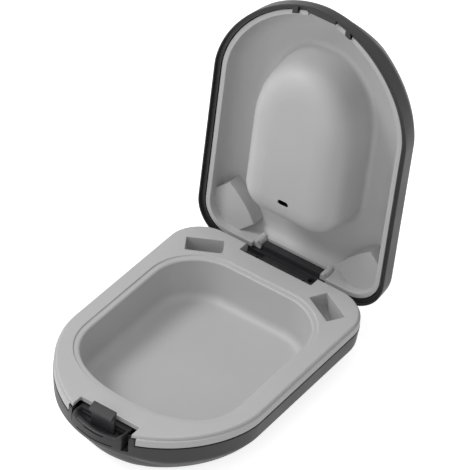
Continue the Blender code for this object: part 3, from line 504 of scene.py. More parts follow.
def drawnSpringSteel():
    # stainless wire pulled through a die: bright, with faint lines along its length
    material = newMaterial("drawnSpringSteel")
    place = addNode(material, "ShaderNodeTexCoord").outputs["Object"]
    stretch = addNode(material, "ShaderNodeMapping", {
        "Vector": place,
        "Scale": springSteel["lineStretch"],
    })
    lines = addNode(material, "ShaderNodeTexNoise", {
        "Vector": stretch.outputs["Vector"],
        "Scale": 1 / (springSteel["drawLineMm"] * mm),
        "Detail": 2.0,
    })
    tint = addNode(material, "ShaderNodeMix", {
        "Factor": lines.outputs["Fac"],
        6: linearColour(springSteel["colour"]),
        7: linearColour(springSteel["secondColour"]),
    }, {"data_type": "RGBA"})
    bump = addNode(material, "ShaderNodeBump", {
        "Height": lines.outputs["Fac"],
        "Strength": 0.4,
        "Distance": springSteel["lineDepthMm"] * mm,
    })
    shader = addNode(material, "ShaderNodeBsdfPrincipled", {
        "Base Color": tint.outputs[2],
        "Metallic": 1.0,
        "Roughness": springSteel["roughness"],
        "Normal": bump.outputs["Normal"],
    })
    addNode(material, "ShaderNodeOutputMaterial", {"Surface": shader.outputs["BSDF"]})
    return material


# Dark bottom shell

bottomShell = {
    "step": 0.8,
    "wall": 1.6,
    "floor": 1.4,
    "topZ": 14.4,
    "topEdge": 0.3,
    "creaseOffset": 0.3,
    "creaseZ": 8.2,
    "creaseRounding": 0.8,
    "bevelOffset": -3.0,
    "bevelZ": 3.5,
    "bevelRounding": 2.6,
    "footOffset": -7.1,
    "innerBevel": (-4.6, 4.3),  # offset, height
    "innerWall": (-1.3, 9.0),
    "openingHalfWidth": 10.7,
    "openingLowZ": 11.4,
    "shelfHalfWidth": 10.4,
    "shelfThickness": 1.2,
    "shelfEdge": 0.15,
    "shelfBackY": -42.5,
    "shelfCutBackY": -45.5,
    "ribX": 8.6,
    "ribWidth": 1.2,
    "ribHeight": 3.0,
    "postWidth": 1.6,
    "postTopZ": 17.0,
    "postEdge": 0.25,
    "bite": 0.6,
    "seatHalfWidth": 8.5,
    "seatY": -39.6,
    "seatThickness": 1.4,
    "seatLowZ": 0.7,
    "seatTopZ": 14.9,
    "seatEdge": 0.2,
}


springPegSize = {
    "x": 6.0,
    "z": 13.4,
    "radius": 0.7,
    "root": 0.3,
    "length": 1.1,
    "edge": 0.2,
}


def bottomShellBody(size):
    edge = size["topEdge"]
    outside = shellOutsideRings([
        (size["step"], size["topZ"] - edge, 0),
        (size["creaseOffset"], size["creaseZ"], size["creaseRounding"]),
        (size["bevelOffset"], size["bevelZ"], size["bevelRounding"]),
        (size["footOffset"], 0, 0),
    ], 1)
    innerTop = size["step"] - size["wall"]
    rings = [
        frontRing(size["footOffset"] - size["wall"], size["floor"], 0, frontTaper["endInset"]),
        frontRing(*size["innerBevel"], frontTaper["bevelRise"], frontTaper["bevelInset"]),
        frontRing(*size["innerWall"], frontTaper["creaseRise"], 0),
        caseRing(innerTop, size["topZ"]),
        caseRing(size["step"] - edge, size["topZ"]),
        caseRing(size["step"] - edge * nearShare, size["topZ"] - edge * nearShare),
    ]
    return loftRings("bottomShell", rings + outside)


def addLatchSeat(shell, size):
    lowZ = size["openingLowZ"] - size["shelfThickness"]
    front = size["step"] - size["wall"]
    shelf = frontOutline(-size["shelfHalfWidth"], size["shelfHalfWidth"], front, size["shelfBackY"])
    add(shell, softBlock("shelf", shelf, lowZ, size["openingLowZ"], size["shelfEdge"]))
    for sign in (-1, 1):
        xs = sorted((sign * size["ribX"], sign * (size["ribX"] - size["ribWidth"])))
        rib = boxOutline(xs[0], size["shelfCutBackY"], xs[1], size["shelfBackY"])
        ribLowZ = lowZ - size["ribHeight"]
        add(shell, softBlock("shelfRib", rib, ribLowZ, lowZ + size["bite"], size["shelfEdge"]))
    opening = frontNotchOutline(size["openingHalfWidth"], size["shelfCutBackY"])
    cut(shell, blockOf("latchOpening", opening, [(0, size["openingLowZ"]), (0, size["postTopZ"])]))
    for sign in (-1, 1):
        xs = sorted((sign * size["openingHalfWidth"], sign * (size["openingHalfWidth"] + size["postWidth"])))
        post = archOutline(*xs, size["step"], front)
        postLowZ = size["topZ"] - size["bite"]
        add(shell, softBlock("latchPost", post, postLowZ, size["postTopZ"], size["postEdge"]))
    seat = boxOutline(
        -size["seatHalfWidth"], size["seatY"], size["seatHalfWidth"], size["seatY"] + size["seatThickness"]
    )
    add(shell, softBlock("springSeat", seat, size["seatLowZ"], size["seatTopZ"], size["seatEdge"]))
    for sign in (-1, 1):
        add(shell, springPeg(sign, size["seatY"], -1))


def springPeg(sign, surfaceY, outwards):  # rounded at its free end
    size = springPegSize
    rootY = surfaceY - outwards * size["root"]
    endY = surfaceY + outwards * size["length"]
    peg = circleOutline(sign * size["x"], size["z"], size["radius"])
    rings = []
    for growth, y in ((0, rootY), (0, endY - outwards * size["edge"]), (-size["edge"], endY)):
        rings.append([Vector((x, y, z)) for x, z in grown(peg, growth)])
    return loftRings("springPeg", rings)


def addBaseKnuckles(shell):
    halfWidth = hinge["lidKnuckleHalfLength"] + hinge["gap"]
    reach = hinge["barrelRadius"] + hinge["slideGap"]
    gap = rearNotchOutline(halfWidth, hinge["y"] - reach)
    cut(shell, blockOf("shellHingeGap", gap, [(0, hinge["z"] - reach), (0, bottomTray["caseHeight"])]))
    barrel = circleOutline(hinge["y"], hinge["z"], hinge["barrelRadius"])
    innerX = hinge["lidKnuckleHalfLength"] + hinge["slideGap"]
    for sign in (-1, 1):
        xs = sorted((sign * innerX, sign * hinge["baseKnuckleEndX"]))
        add(shell, softBlock("baseKnuckle", barrel, *xs, hinge["edge"], "x"))
    bore = circleOutline(hinge["y"], hinge["z"], hinge["pinRadius"] + hinge["gap"])
    boreEnd = hinge["pinHalfLength"] + hinge["gap"]
    cut(shell, blockOf("baseBore", bore, [(0, -boreEnd), (0, boreEnd)], "x"))


def makeBottomShell(material):
    shell = bottomShellBody(bottomShell)
    addLatchSeat(shell, bottomShell)
    addBaseKnuckles(shell)
    finishPiece(shell, material, "base", ["base_shell"])


# Pale bottom tray

bottomTray = {
    "caseHeight": 18.5,
    "floorZ": 3.0,
    "floorOffset": -7.2,
    "wallFootOffset": -3.0,
    "floorRounding": 3.36,
    "wallTopOffset": -2.1,
    "lipStep": 0.5,
    "lipRounding": 0.9,
    "lipOuter": -0.25,
    "lipFootEdge": 0.12,
    "lipTopEdge": 0.16,
    "plateInner": 1,
    "plateEdge": 0.5,
    "bandTopZ": 17.3,
    "bandLowZ": 14.7,
    "bandStep": 0.7,
    "bandRounding": 0.4,
    "bandSeamEdge": 0.1,
    "bandLowEdge": 0.2,
    "skirtOffset": -1.1,
    "skirtLowZ": 11.5,
    "skirtWall": 1.2,
    "plateUndersideZ": 16.9,
    "wall": 1.3,
    "latchNotchHalfWidth": 11.0,
    "latchNotchBackY": -43.6,
    "bandNotchHalfWidth": 12.6,
    "hingeNotchHalfWidth": 13.9,
    "hingeNotchFrontY": 46.2,
    "notchDepth": 8.0,
    "flare": 0.22,
}

cellWell = {  # one hearing aid cell stands on edge in each
    "x": 23.84,
    "y": 40.6,
    "turn": 30,
    "halfLength": 6.2,
    "halfWidth": 3.2,
    "depth": 8.8,
    "wall": 1.2,
    "housingTopZ": 17.7,
    "cornerRadius": 0.3,
    "flare": 0.25,
}


def bottomTrayBody(size):
    height = size["caseHeight"]
    inside = roundedProfile([
        (size["floorOffset"], size["floorZ"], 0),
        (size["wallFootOffset"], size["floorZ"], size["floorRounding"]),
        (size["wallTopOffset"], height - size["lipStep"], size["lipRounding"]),
        (size["lipOuter"], height - size["lipStep"], size["lipFootEdge"]),
        (0, height, size["lipTopEdge"]),
        (size["plateInner"], height, 0),
    ])
    edge = roundedProfile([
        (-2 * size["plateEdge"], height, 0),
        (0, height, size["plateEdge"]),
        (0, size["bandTopZ"], size["bandSeamEdge"]),
        (size["bandStep"], size["bandTopZ"], size["bandRounding"]),
        (size["bandStep"], size["bandLowZ"], size["bandLowEdge"]),
        (size["skirtOffset"], size["bandLowZ"], 0),
        (size["skirtOffset"], size["skirtLowZ"], 0),
        (size["skirtOffset"] - size["skirtWall"], size["skirtLowZ"], 0),
        (size["skirtOffset"] - size["skirtWall"], size["plateUndersideZ"], 0),
    ])
    outside = roundedProfile([
        (size["wallTopOffset"] + size["wall"], size["plateUndersideZ"], 0),
        (size["wallFootOffset"] + size["wall"], size["floorZ"] - size["wall"], size["floorRounding"]),
        (size["floorOffset"], size["floorZ"] - size["wall"], 0),
    ])
    rings = [basinRing(*level) for level in inside]
    rings += [caseRing(*level) for level in edge]
    rings += [basinRing(*level) for level in outside]
    return loftRings("bottomTray", rings)


def wellTool(name, sign, growth, depth, highZ, flare):  # upright slot with a half-round bottom
    size = cellWell
    surface = bottomTray["caseHeight"]
    radius = size["halfLength"] + growth
    halfWidth = size["halfWidth"] + growth
    lowZ = surface - depth
    levels = []
    for step in range(1, smoothness["wellSteps"] + 1):
        angle = math.pi / 2 * step / smoothness["wellSteps"]
        levels.append((radius * math.sin(angle), halfWidth, lowZ + radius * (1 - math.cos(angle))))
    if flare:
        near = flare * nearShare
        for wider, z in ((0, surface - flare), (near, surface - near), (flare, surface)):
            levels.append((radius + wider, halfWidth + wider, z))
    levels.append((radius + flare, halfWidth + flare, highZ))
    turn = Matrix.Rotation(-sign * math.radians(size["turn"]), 3, "Z")
    centre = Vector((sign * size["x"], size["y"], 0))
    rings = []
    for halfLength, width, z in levels:
        corner = min(size["cornerRadius"], halfLength / 2)
        outline = boxOutline(-halfLength, -width, halfLength, width, corner)
        rings.append([centre + turn @ Vector((u, v, z)) for u, v in outline])
    return loftRings(name, rings)


def makeBottomTray(material):
    size = bottomTray
    tray = bottomTrayBody(size)
    for sign in (-1, 1):
        housingDepth = cellWell["depth"] + cellWell["wall"]
        add(tray, wellTool("wellHousing", sign, cellWell["wall"], housingDepth, cellWell["housingTopZ"], 0))
    for sign in (-1, 1):
        highZ = size["caseHeight"] + overrun
        cut(tray, wellTool("wellPocket", sign, 0, cellWell["depth"], highZ, cellWell["flare"]))
    lowZ = size["caseHeight"] - size["notchDepth"]
    hingeNotch = rearNotchOutline(size["hingeNotchHalfWidth"], size["hingeNotchFrontY"])
    latchNotch = frontNotchOutline(size["latchNotchHalfWidth"], size["latchNotchBackY"])
    cut(
        tray,
        flaredCutter("hingeNotch", hingeNotch, lowZ, size["caseHeight"], size["flare"]),
        flaredCutter("latchNotch", latchNotch, lowZ, size["caseHeight"], size["flare"]),
    )
    bandNotch = frontNotchOutline(size["bandNotchHalfWidth"], size["latchNotchBackY"])
    cut(tray, blockOf("bandNotch", bandNotch, [(0, lowZ), (0, size["bandTopZ"])]))
    finishPiece(tray, material, "base", ["base_liner"])


# Dark lid shell, modelled shut

lidShell = {
    "step": 0.8,
    "rimZ": 17.6,
    "rimEdge": 0.25,
    "creaseOffset": 0.3,
    "creaseZ": 23.6,
    "creaseRounding": 0.8,
    "bevelOffset": -2.6,
    "bevelZ": 27.8,
    "bevelRounding": 2.6,
    "crownOffset": -7.0,
    "topZ": 30.6,
    "lipThickness": 0.5,
    "lipHeight": 1.2,
    "stepOffset": -1.1,
    "innerWallZ": 22.8,
    "innerBevel": (-4.2, 27.0),
    "innerTop": (-8.6, 29.0),
    "bossHalfWidth": 11.3,
    "bossFrontY": 47.3,
    "bossRearY": 49.9,
    "bossLowZ": 20.3,
    "bossHighZ": 23.5,
    "bossEdge": 0.35,
    "bossCorner": 0.6,
    "armThickness": 1.6,
    "armInset": 0.1,
    "armCorner": 0.15,
    "armBite": 0.6,
    "catchHalfWidth": 5.2,
    "catchBackY": -48.4,
    "catchHighZ": 20.1,
    "catchEdge": 0.15,
    "reliefOffset": -0.45,
    "reliefInner": -4.0,
    "tongueInnerX": 8.8,
    "tongueOuterX": 10.7,
    "tongueReach": 2.4,
    "tongueHeight": 2.6,
}


def lidInnerRings(gap):  # inside of the dark shell, or a line this far inside it, for the pale tray
    size = lidShell
    bevelOffset, bevelZ = size["innerBevel"]
    topOffset, topZ = size["innerTop"]
    stepOffset = size["stepOffset"] - gap
    return [
        frontRing(stepOffset, size["rimZ"] + size["lipHeight"], 0, 0),
        frontRing(stepOffset, size["innerWallZ"] - gap, -frontTaper["creaseRise"], 0),
        frontRing(bevelOffset - gap, bevelZ - gap, -frontTaper["bevelRise"], frontTaper["bevelInset"]),
        frontRing(topOffset - gap, topZ - gap, 0, frontTaper["endInset"]),
    ]


def lidShellBody(size):
    outside = shellOutsideRings([
        (size["step"], size["rimZ"] + size["rimEdge"], 0),
        (size["creaseOffset"], size["creaseZ"], size["creaseRounding"]),
        (size["bevelOffset"], size["bevelZ"], size["bevelRounding"]),
        (size["crownOffset"], size["topZ"], 0),
    ], -1)
    edge = size["rimEdge"]
    lipOffset = size["step"] - size["lipThickness"]
    lipTopZ = size["rimZ"] + size["lipHeight"]
    rings = outside[::-1] + [
        caseRing(size["step"] - edge * nearShare, size["rimZ"] + edge * nearShare),
        caseRing(size["step"] - edge, size["rimZ"]),
        caseRing(lipOffset, size["rimZ"]),
        caseRing(lipOffset, lipTopZ),
    ]
    return loftRings("lidShell", rings + lidInnerRings(0))


def addLidKnuckle(shell, size):
    halfLength = hinge["lidKnuckleHalfLength"]
    armRearY = caseOutline["rearY"] + size["step"] - size["armInset"]
    armFrontY = armRearY - size["armThickness"]
    arm = boxOutline(-halfLength, armFrontY, halfLength, armRearY, size["armCorner"])
    armTopZ = size["rimZ"] + size["lipHeight"] + size["armBite"]
    bossHalfWidth = size["bossHalfWidth"]
    boss = boxOutline(
        -bossHalfWidth, size["bossFrontY"], bossHalfWidth, size["bossRearY"], size["bossCorner"]
    )
    barrel = circleOutline(hinge["y"], hinge["z"], hinge["barrelRadius"])
    bore = circleOutline(hinge["y"], hinge["z"], hinge["pinRadius"] + hinge["gap"])
    add(
        shell,
        softBlock("hingeBoss", boss, size["bossLowZ"], size["bossHighZ"], size["bossEdge"]),
        blockOf("hingeArm", arm, [(0, hinge["z"]), (0, armTopZ)]),
        softBlock("lidBarrel", barrel, -halfLength, halfLength, hinge["edge"], "x"),
    )
    boreEnd = halfLength + overrun
    cut(shell, blockOf("lidBore", bore, [(0, -boreEnd), (0, boreEnd)], "x"))


def addLidCatch(shell, size):
    halfWidth = size["catchHalfWidth"]
    gap = lidTray["gap"]
    hook = latchButton
    relief = archOutline(-halfWidth, halfWidth, size["reliefOffset"], size["reliefInner"])
    cut(shell, blockOf("catchRelief", relief, [(0, size["catchHighZ"]), (0, hook["hookTipTopZ"] + gap)]))
    room = [
        Vector((hook["hookTipY"], size["catchHighZ"])),
        Vector((hook["hookBackY"] + gap, size["catchHighZ"])),
        Vector((hook["hookBackY"] + gap, hook["hookTopZ"] + gap)),
        Vector((hook["hookBackY"] - hook["hookFlat"], hook["hookTopZ"] + gap)),
        Vector((hook["hookTipY"], hook["hookTipTopZ"] + gap)),
    ]
    cut(shell, blockOf("hookRoom", room, [(0, -halfWidth), (0, halfWidth)], "x"))
    outer = size["step"] - size["lipThickness"] / 2
    ledge = frontOutline(-halfWidth, halfWidth, outer, size["catchBackY"])
    add(shell, softBlock("lidCatch", ledge, size["rimZ"], size["catchHighZ"], size["catchEdge"]))
    for sign in (-1, 1):
        xs = sorted((sign * size["tongueInnerX"], sign * size["tongueOuterX"]))
        tongue = archOutline(*xs, outer, -size["tongueReach"])
        lowZ = size["rimZ"] + gap
        add(shell, softBlock("lidTongue", tongue, lowZ, lowZ + size["tongueHeight"], size["catchEdge"]))


def makeLidShell(material):
    shell = lidShellBody(lidShell)
    addLidKnuckle(shell, lidShell)
    addLidCatch(shell, lidShell)
    openLid(shell)
    finishPiece(shell, material, "lid", ["lid_shell"])


# Pale lid tray, modelled shut

lidTray = {
    "gap": 0.3,
    "rimZ": 18.8,
    "rimEdge": 0.3,
    "rimOuter": -1.4,
    "rimInner": -3.2,
    "floorZ": 27.3,
    "floorRounding": 6.5,
    "floorInset": 7.2,
    "seam": 0.01,
    "wall": 1.4,
    "domeDraft": 2.2,
    "domeFaceZ": 9.6,
    "domeRounding": 8.5,
    "domeFoot": 2.0,
    "domeFlat": 0.3,
    "cavityRounding": 6.4,
    "slotY": 18.6,
    "slotLength": 4.0,
    "slotWidth": 1.8,
    "slotFlare": 0.2,
    "slotEdge": 0.12,
    "slotLip": 0.45,
    "slotUndercutZ": 0.6,
    "slotUndercut": 0.8,
    "bossNotchHalfWidth": 11.6,
    "bossNotchFrontY": 46.0,
    "rimNotchDepth": 1.2,
    "pocketHalfWidth": 5.5,
    "pocketBackY": -45.0,
    "pocketHighZ": 23.0,
}

cellPad = {  # holds the cell down when the lid is shut
    "inner": (16.2, 42.3),
    "outer": (27.4, 30.7),
    "bulge": 1.0,
    "faceZ": 21.6,
    "faceEdge": 0.35,
    "cornerGap": 0.02,
    "wallOffset": -1.75,
    # where its foot starts and how it follows the tray's wall back to the floor
    "foot": [(-1.75, 22.15), (-4.85, 26.35), (-6.4, 27.4)],
}

hingeRib = {
    "x": 13.0,
    "y": 47.3,
    "radius": 1.4,
    # how far back, how far above the rim, and the share of the radius there
    "rings": [(0, 0, 0.86), (0, 0.2, 1), (0, 3.7, 1), (-1.0, 5.0, 0.75), (-1.2, 5.3, 0.5)],
}


def lidTrayBody(size):
    floorZ = size["floorZ"]
    inside = roundedProfile([
        (size["rimInner"] - size["seam"], size["rimZ"] + size["rimEdge"], 0),
        (size["rimInner"], floorZ, size["floorRounding"]),
        (size["rimInner"] - size["floorInset"], floorZ, 0),
    ])
    domeSide = roundedProfile([
        (size["domeFoot"], floorZ, 0),
        (0, floorZ, size["domeFoot"]),
        (-size["domeDraft"], size["domeFaceZ"], size["domeRounding"]),
        (-size["domeDraft"] - size["domeRounding"] - size["domeFlat"], size["domeFaceZ"], 0),
    ])
    cavity = roundedProfile([
        (-size["domeDraft"] - size["domeRounding"], size["domeFaceZ"] + size["wall"], 0),
        (-size["domeDraft"] - size["wall"], size["domeFaceZ"] + size["wall"], size["cavityRounding"]),
        (-size["wall"], floorZ + size["wall"], 0),
    ])
    edge = size["rimEdge"]
    rings = [domeRing(*level) for level in cavity]
    rings += lidInnerRings(size["gap"])[:0:-1]
    rings += [
        caseRing(size["rimOuter"], size["rimZ"] + edge),
        caseRing(size["rimOuter"] - edge * nearShare, size["rimZ"] + edge * nearShare),
        caseRing(size["rimOuter"] - edge, size["rimZ"]),
        caseRing(size["rimInner"] + edge, size["rimZ"]),
        caseRing(size["rimInner"] + edge * nearShare, size["rimZ"] + edge * nearShare),
    ]
    for offset, z in inside:
        depthShare = max(0, 1 - (floorZ - z) / size["floorRounding"])
        rings.append(frontRing(offset, z, 0, frontTaper["trayInset"] * math.sqrt(depthShare)))
    rings += [domeRing(*level) for level in domeSide[1:]]
    return loftRings("lidTray", rings)


def padRing(sign, offset, z, shrink):
    radius = caseOutline["cornerRadius"] + offset
    cornerX = caseOutline["halfWidth"] - caseOutline["cornerRadius"]
    cornerY = caseOutline["rearY"] - caseOutline["cornerRadius"]
    inner = Vector(cellPad["inner"])
    outer = Vector(cellPad["outer"])
    along = (outer - inner).normalized()
    outwards = Vector((-along.y, along.x))
    inner += along * shrink + outwards * shrink
    outer += outwards * shrink - along * shrink
    ring = []
    for step in range(smoothness["padSteps"] + 1):
        share = step / smoothness["padSteps"]
        bulge = cellPad["bulge"] * (1 - (2 * share - 1) ** 2)
        ring.append(inner.lerp(outer, share) - outwards * bulge)
    ring.append(outer + outwards * ((cornerX + radius - outer.x) / outwards.x))
    for step in range(smoothness["cornerSteps"] + 1):
        angle = math.pi / 2 * step / smoothness["cornerSteps"]
        ring.append(Vector((cornerX + radius * math.cos(angle), cornerY + radius * math.sin(angle))))
    last = inner + outwards * ((cornerY + radius - inner.y) / outwards.y)
    ring.append(Vector((min(last.x, cornerX - cellPad["cornerGap"]), last.y)))
    return [Vector((sign * x, y, z)) for x, y in ring]


def makeCellPad(sign):
    edge = cellPad["faceEdge"]
    near = edge * nearShare
    faceZ = cellPad["faceZ"]
    offset = cellPad["wallOffset"]
    levels = [(offset, faceZ, edge), (offset, faceZ + near, near), (offset, faceZ + edge, 0)]
    levels += [(*level, 0) for level in cellPad["foot"]]
    return loftRings("cellPad", [padRing(sign, *level) for level in levels])


def makeHingeRib(sign):
    size = hingeRib
    rings = []
    for back, above, share in size["rings"]:
        circle = circleOutline(sign * size["x"], size["y"] + back, size["radius"] * share)
        rings.append([Vector((x, y, lidTray["rimZ"] + above)) for x, y in circle])
    return loftRings("hingeRib", rings)


def cutLidTrayNotches(tray, size):
    lowZ = size["rimZ"] - overrun
    bossNotch = rearNotchOutline(size["bossNotchHalfWidth"], size["bossNotchFrontY"])
    bossHighZ = lidShell["bossHighZ"] + size["gap"]
    cut(tray, blockOf("bossNotch", bossNotch, [(0, lowZ), (0, bossHighZ)]))
    rimNotch = rearNotchOutline(hingeRib["x"] + hingeRib["radius"], size["bossNotchFrontY"])
    rimNotchHighZ = size["rimZ"] + size["rimNotchDepth"]
    cut(tray, blockOf("rimNotch", rimNotch, [(0, lowZ), (0, rimNotchHighZ)]))
    pocket = frontNotchOutline(size["pocketHalfWidth"], size["pocketBackY"])
    cut(tray, blockOf("hookPocket", pocket, [(0, lowZ), (0, size["pocketHighZ"])]))
    for sign in (-1, 1):
        xs = sorted((
            sign * (lidShell["tongueInnerX"] - size["gap"]),
            sign * (lidShell["tongueOuterX"] + size["gap"]),
        ))
        notch = archOutline(*xs, overrun, -lidShell["tongueReach"] - size["gap"])
        highZ = lidShell["rimZ"] + lidShell["tongueHeight"] + 2 * size["gap"]
        cut(tray, blockOf("tongueNotch", notch, [(0, lowZ), (0, highZ)]))


def cutDomeSlot(tray, size):  # wider behind a thin lip, so that no wall of it shows
    halfLength = size["slotLength"] / 2
    halfWidth = size["slotWidth"] / 2
    lowY = size["slotY"] - halfWidth
    highY = size["slotY"] + halfWidth
    slot = boxOutline(-halfLength, lowY, halfLength, highY, halfWidth - size["seam"])
    faceZ = size["domeFaceZ"]
    levels = [
        (size["slotFlare"], faceZ - overrun),
        (size["slotFlare"], faceZ),
        (0, faceZ + size["slotEdge"]),
        (0, faceZ + size["slotLip"]),
        (size["slotUndercut"], faceZ + size["slotUndercutZ"]),
        (size["slotUndercut"], faceZ + overrun),
    ]
    cut(tray, blockOf("domeSlot", slot, levels))


def makeLidTray(material):
    tray = lidTrayBody(lidTray)
    add(tray, makeCellPad(-1), makeCellPad(1), makeHingeRib(-1), makeHingeRib(1))
    cutLidTrayNotches(tray, lidTray)
    cutDomeSlot(tray, lidTray)
    openLid(tray)
    finishPiece(tray, material, "lid", ["lid_liner"])


# Latch button with its hook

latchButton = {
    "leftX": -10.4,
    "rightX": 8.6,
    "middleX": -0.9,
    "frontOffset": 0.98,
    "lowZ": 11.7,
    "topZ": 16.9,
    "backY": -44.9,
    "backTopZ": 16.4,
    "cornerRounding": 0.6,
    "lowEdge": 0.3,
    "rollHeight": 1.6,
    "rollFront": 1.2,
    "dipFromZ": 14.3,  # between its ends the button is lower above this height
    "dipShare": 0.5,
    "dipEndWall": 0.8,
    "dipSlope": 1.6,
    "rollSide": 0.5,
    "rollBack": 0.3,
    # bowl behind the rolled edge: inset from the front, sides and back, and how deep it is there
    "bowl": [
        (1.5, 0.72, 0.45, 0.15),
        (1.8, 0.9, 0.55, 0.4),
        (2.1, 1.05, 0.6, 0.75),
        (2.4, 1.2, 0.65, 1.15),
        (2.7, 1.45, 0.7, 1.6),
        (3.0, 1.8, 0.75, 2.1),
        (3.25, 2.4, 0.8, 2.5),
        (3.5, 3.2, 0.85, 2.8),
    ],
    "hookHalfWidth": 4.3,
    "hookRoot": 1.2,
    "hookStem": 1.2,
    "hookBackY": -46.4,
    "hookTopZ": 22.6,
    "hookFlat": 0.4,
    "hookTipY": -49.2,
    "hookTipTopZ": 21.4,
    "hookUnderZ": 20.6,
    "hookEdge": 0.18,
    "ledgeInset": 0.1,
    "ledgeBite": 0.4,
    "ledgeDrop": 0.06,
    "ledgeThickness": 1.1,
    "ledgeBackY": -42.6,
    "ledgeEdge": 0.12,
    "earX": 12.3,
    "earLowRise": 0.2,
    "earTopZ": 15.35,
    "earGap": 1.2,
    "earBackInset": 0.12,
    "earEdge": 0.15,
    "grooveWidth": 0.4,
    "grooveDepth": 0.5,
    "longGroove": (6.8, 12.3),  # half length, height
    "shortGroove": (3.7, 14.9),
}


def frontDip(size, x, z):
    fromEnd = min(x - size["leftX"], size["rightX"] - x)
    share = min(1, max(0, (fromEnd - size["dipEndWall"]) / size["dipSlope"]))
    return max(0, z - size["dipFromZ"]) * size["dipShare"] * share * share * (3 - 2 * share)


def buttonRing(size, front, side, back, z):
    leftX = size["leftX"] + side
    rightX = size["rightX"] - side
    offset = size["frontOffset"] - front
    backY = size["backY"] - back
    rounding = size["cornerRounding"]
    points = []
    for x, inwards in ((leftX, 1), (rightX, -1)):
        corner = Vector((x, archY(x, offset)))
        behind = corner + Vector((0, rounding))
        ahead = Vector((x + inwards * rounding, archY(x + inwards * rounding, offset)))
        start, end = (behind, ahead) if inwards == 1 else (ahead, behind)
        for step in range(smoothness["buttonCorner"] + 1):
            share = step / smoothness["buttonCorner"]
            points.append(start.lerp(corner, share).lerp(corner.lerp(end, share), share))
        if inwards == 1:
            straight = rightX - leftX - 2 * rounding
            for step in range(1, smoothness["buttonFront"]):
                along = leftX + rounding + straight * step / smoothness["buttonFront"]
                points.append(Vector((along, archY(along, offset))))
    ring = [Vector((x, y, z - frontDip(size, x, z))) for x, y in points]
    lowered = min(z, size["backTopZ"])
    return ring + [Vector((rightX, backY, lowered)), Vector((leftX, backY, lowered))]


def buttonBody(size):
    edge = size["lowEdge"]
    near = edge * nearShare
    rings = [
        buttonRing(size, edge, edge, edge, size["lowZ"]),
        buttonRing(size, near, near, near, size["lowZ"] + near),
        buttonRing(size, 0, 0, 0, size["lowZ"] + edge),
    ]
    for step in range(smoothness["buttonRoll"] + 1):
        angle = math.pi / 2 * step / smoothness["buttonRoll"]
        inwards = 1 - math.cos(angle)
        z = size["topZ"] - size["rollHeight"] * (1 - math.sin(angle))
        rings.append(buttonRing(
            size, size["rollFront"] * inwards, size["rollSide"] * inwards, size["rollBack"] * inwards, z
        ))
    for front, side, back, depth in size["bowl"]:
        rings.append(buttonRing(size, front, side, back, size["topZ"] - depth))
    return loftRings("latchButton", rings)


def hookOutline(size):
    stemFrontY = size["hookBackY"] - size["hookStem"]
    lowZ = size["lowZ"] + size["hookRoot"]
    return [
        Vector((size["hookBackY"], lowZ)),
        Vector((size["hookBackY"], size["hookTopZ"])),
        Vector((size["hookBackY"] - size["hookFlat"], size["hookTopZ"])),
        Vector((size["hookTipY"], size["hookTipTopZ"])),
        Vector((size["hookTipY"], size["hookUnderZ"])),
        Vector((stemFrontY, size["hookUnderZ"])),
        Vector((stemFrontY, lowZ)),
    ]


def addGripGrooves(button, size):
    for halfLength, z in (size["longGroove"], size["shortGroove"]):
        groove = archOutline(
            size["middleX"] - halfLength,
            size["middleX"] + halfLength,
            size["frontOffset"] + overrun,
            size["frontOffset"] - size["grooveDepth"],
        )
        halfWidth = size["grooveWidth"] / 2
        cut(button, blockOf("gripGroove", groove, [(0, z - halfWidth), (0, z + halfWidth)]))


def addHook(button, size):
    halfWidth = size["hookHalfWidth"]
    add(button, softBlock("hook", hookOutline(size), -halfWidth, halfWidth, size["hookEdge"], "x"))


def addBackLedge(button, size):  # lies over the springs
    leftX = size["leftX"] + size["ledgeInset"]
    rightX = size["rightX"] - size["ledgeInset"]
    ledge = boxOutline(leftX, size["backY"] - size["ledgeBite"], rightX, size["ledgeBackY"])
    topZ = size["backTopZ"] - size["ledgeDrop"]
    add(button, softBlock("ledge", ledge, topZ - size["ledgeThickness"], topZ, size["ledgeEdge"]))


def addEars(button, size):  # behind the posts of the shell, they stop the button from coming out
    innerOffset = bottomShell["step"] - bottomShell["wall"]
    frontY = archY(bottomShell["openingHalfWidth"], innerOffset) + size["earGap"]
    ears = boxOutline(-size["earX"], frontY, size["earX"], size["backY"] - size["earBackInset"])
    lowZ = size["lowZ"] + size["earLowRise"]
    add(button, softBlock("ears", ears, lowZ, size["earTopZ"], size["earEdge"]))


def makeLatchButton(material):
    size = latchButton
    button = buttonBody(size)
    addHook(button, size)
    addBackLedge(button, size)
    addEars(button, size)
    addGripGrooves(button, size)
    for sign in (-1, 1):
        add(button, springPeg(sign, size["backY"], 1))
    finishPiece(button, material, "latch", ["latch_button"])


# Stage, light and camera

studio = {
    "floorHalfSize": 1500,
    "floorColour": "#e6e6e6",
    "floorGlow": 0.75,
    "white": (1, 1, 1, 1),
    "backgroundLight": 0.47,
    "lamps": [
        # name, from, size in mm, watts
        ("keyLamp", (-650, -420, 900), 420, 6.0),
        ("topLamp", (-100, 100, 1100), 500, 1.0),
        ("frontLamp", (100, -1000, 500), 700, 1.4),
    ],
}

camera = {
    "azimuth": 30.748,
    "elevation": 39.071,
    "roll": 6.151,
    "distance": 1082.507,
    "across": 0.039,
    "up": 21.395,
    "target": (0, 23.3, 18.5),
    "lens": 261.27,
    "sensorWidth": 36,
}


def seenDirectly(owner):  # 1 where the camera looks, straight, in a reflection or through something
    path = addNode(owner, "ShaderNodeLightPath")
    larger = {"operation": "MAXIMUM"}
    seen = addNode(owner, "ShaderNodeMath", {
        0: path.outputs["Is Camera Ray"],
        1: path.outputs["Is Glossy Ray"],
    }, larger)
    through = addNode(owner, "ShaderNodeMath", {
        0: seen.outputs[0],
        1: path.outputs["Is Transmission Ray"],
    }, larger)
    return through.outputs[0]


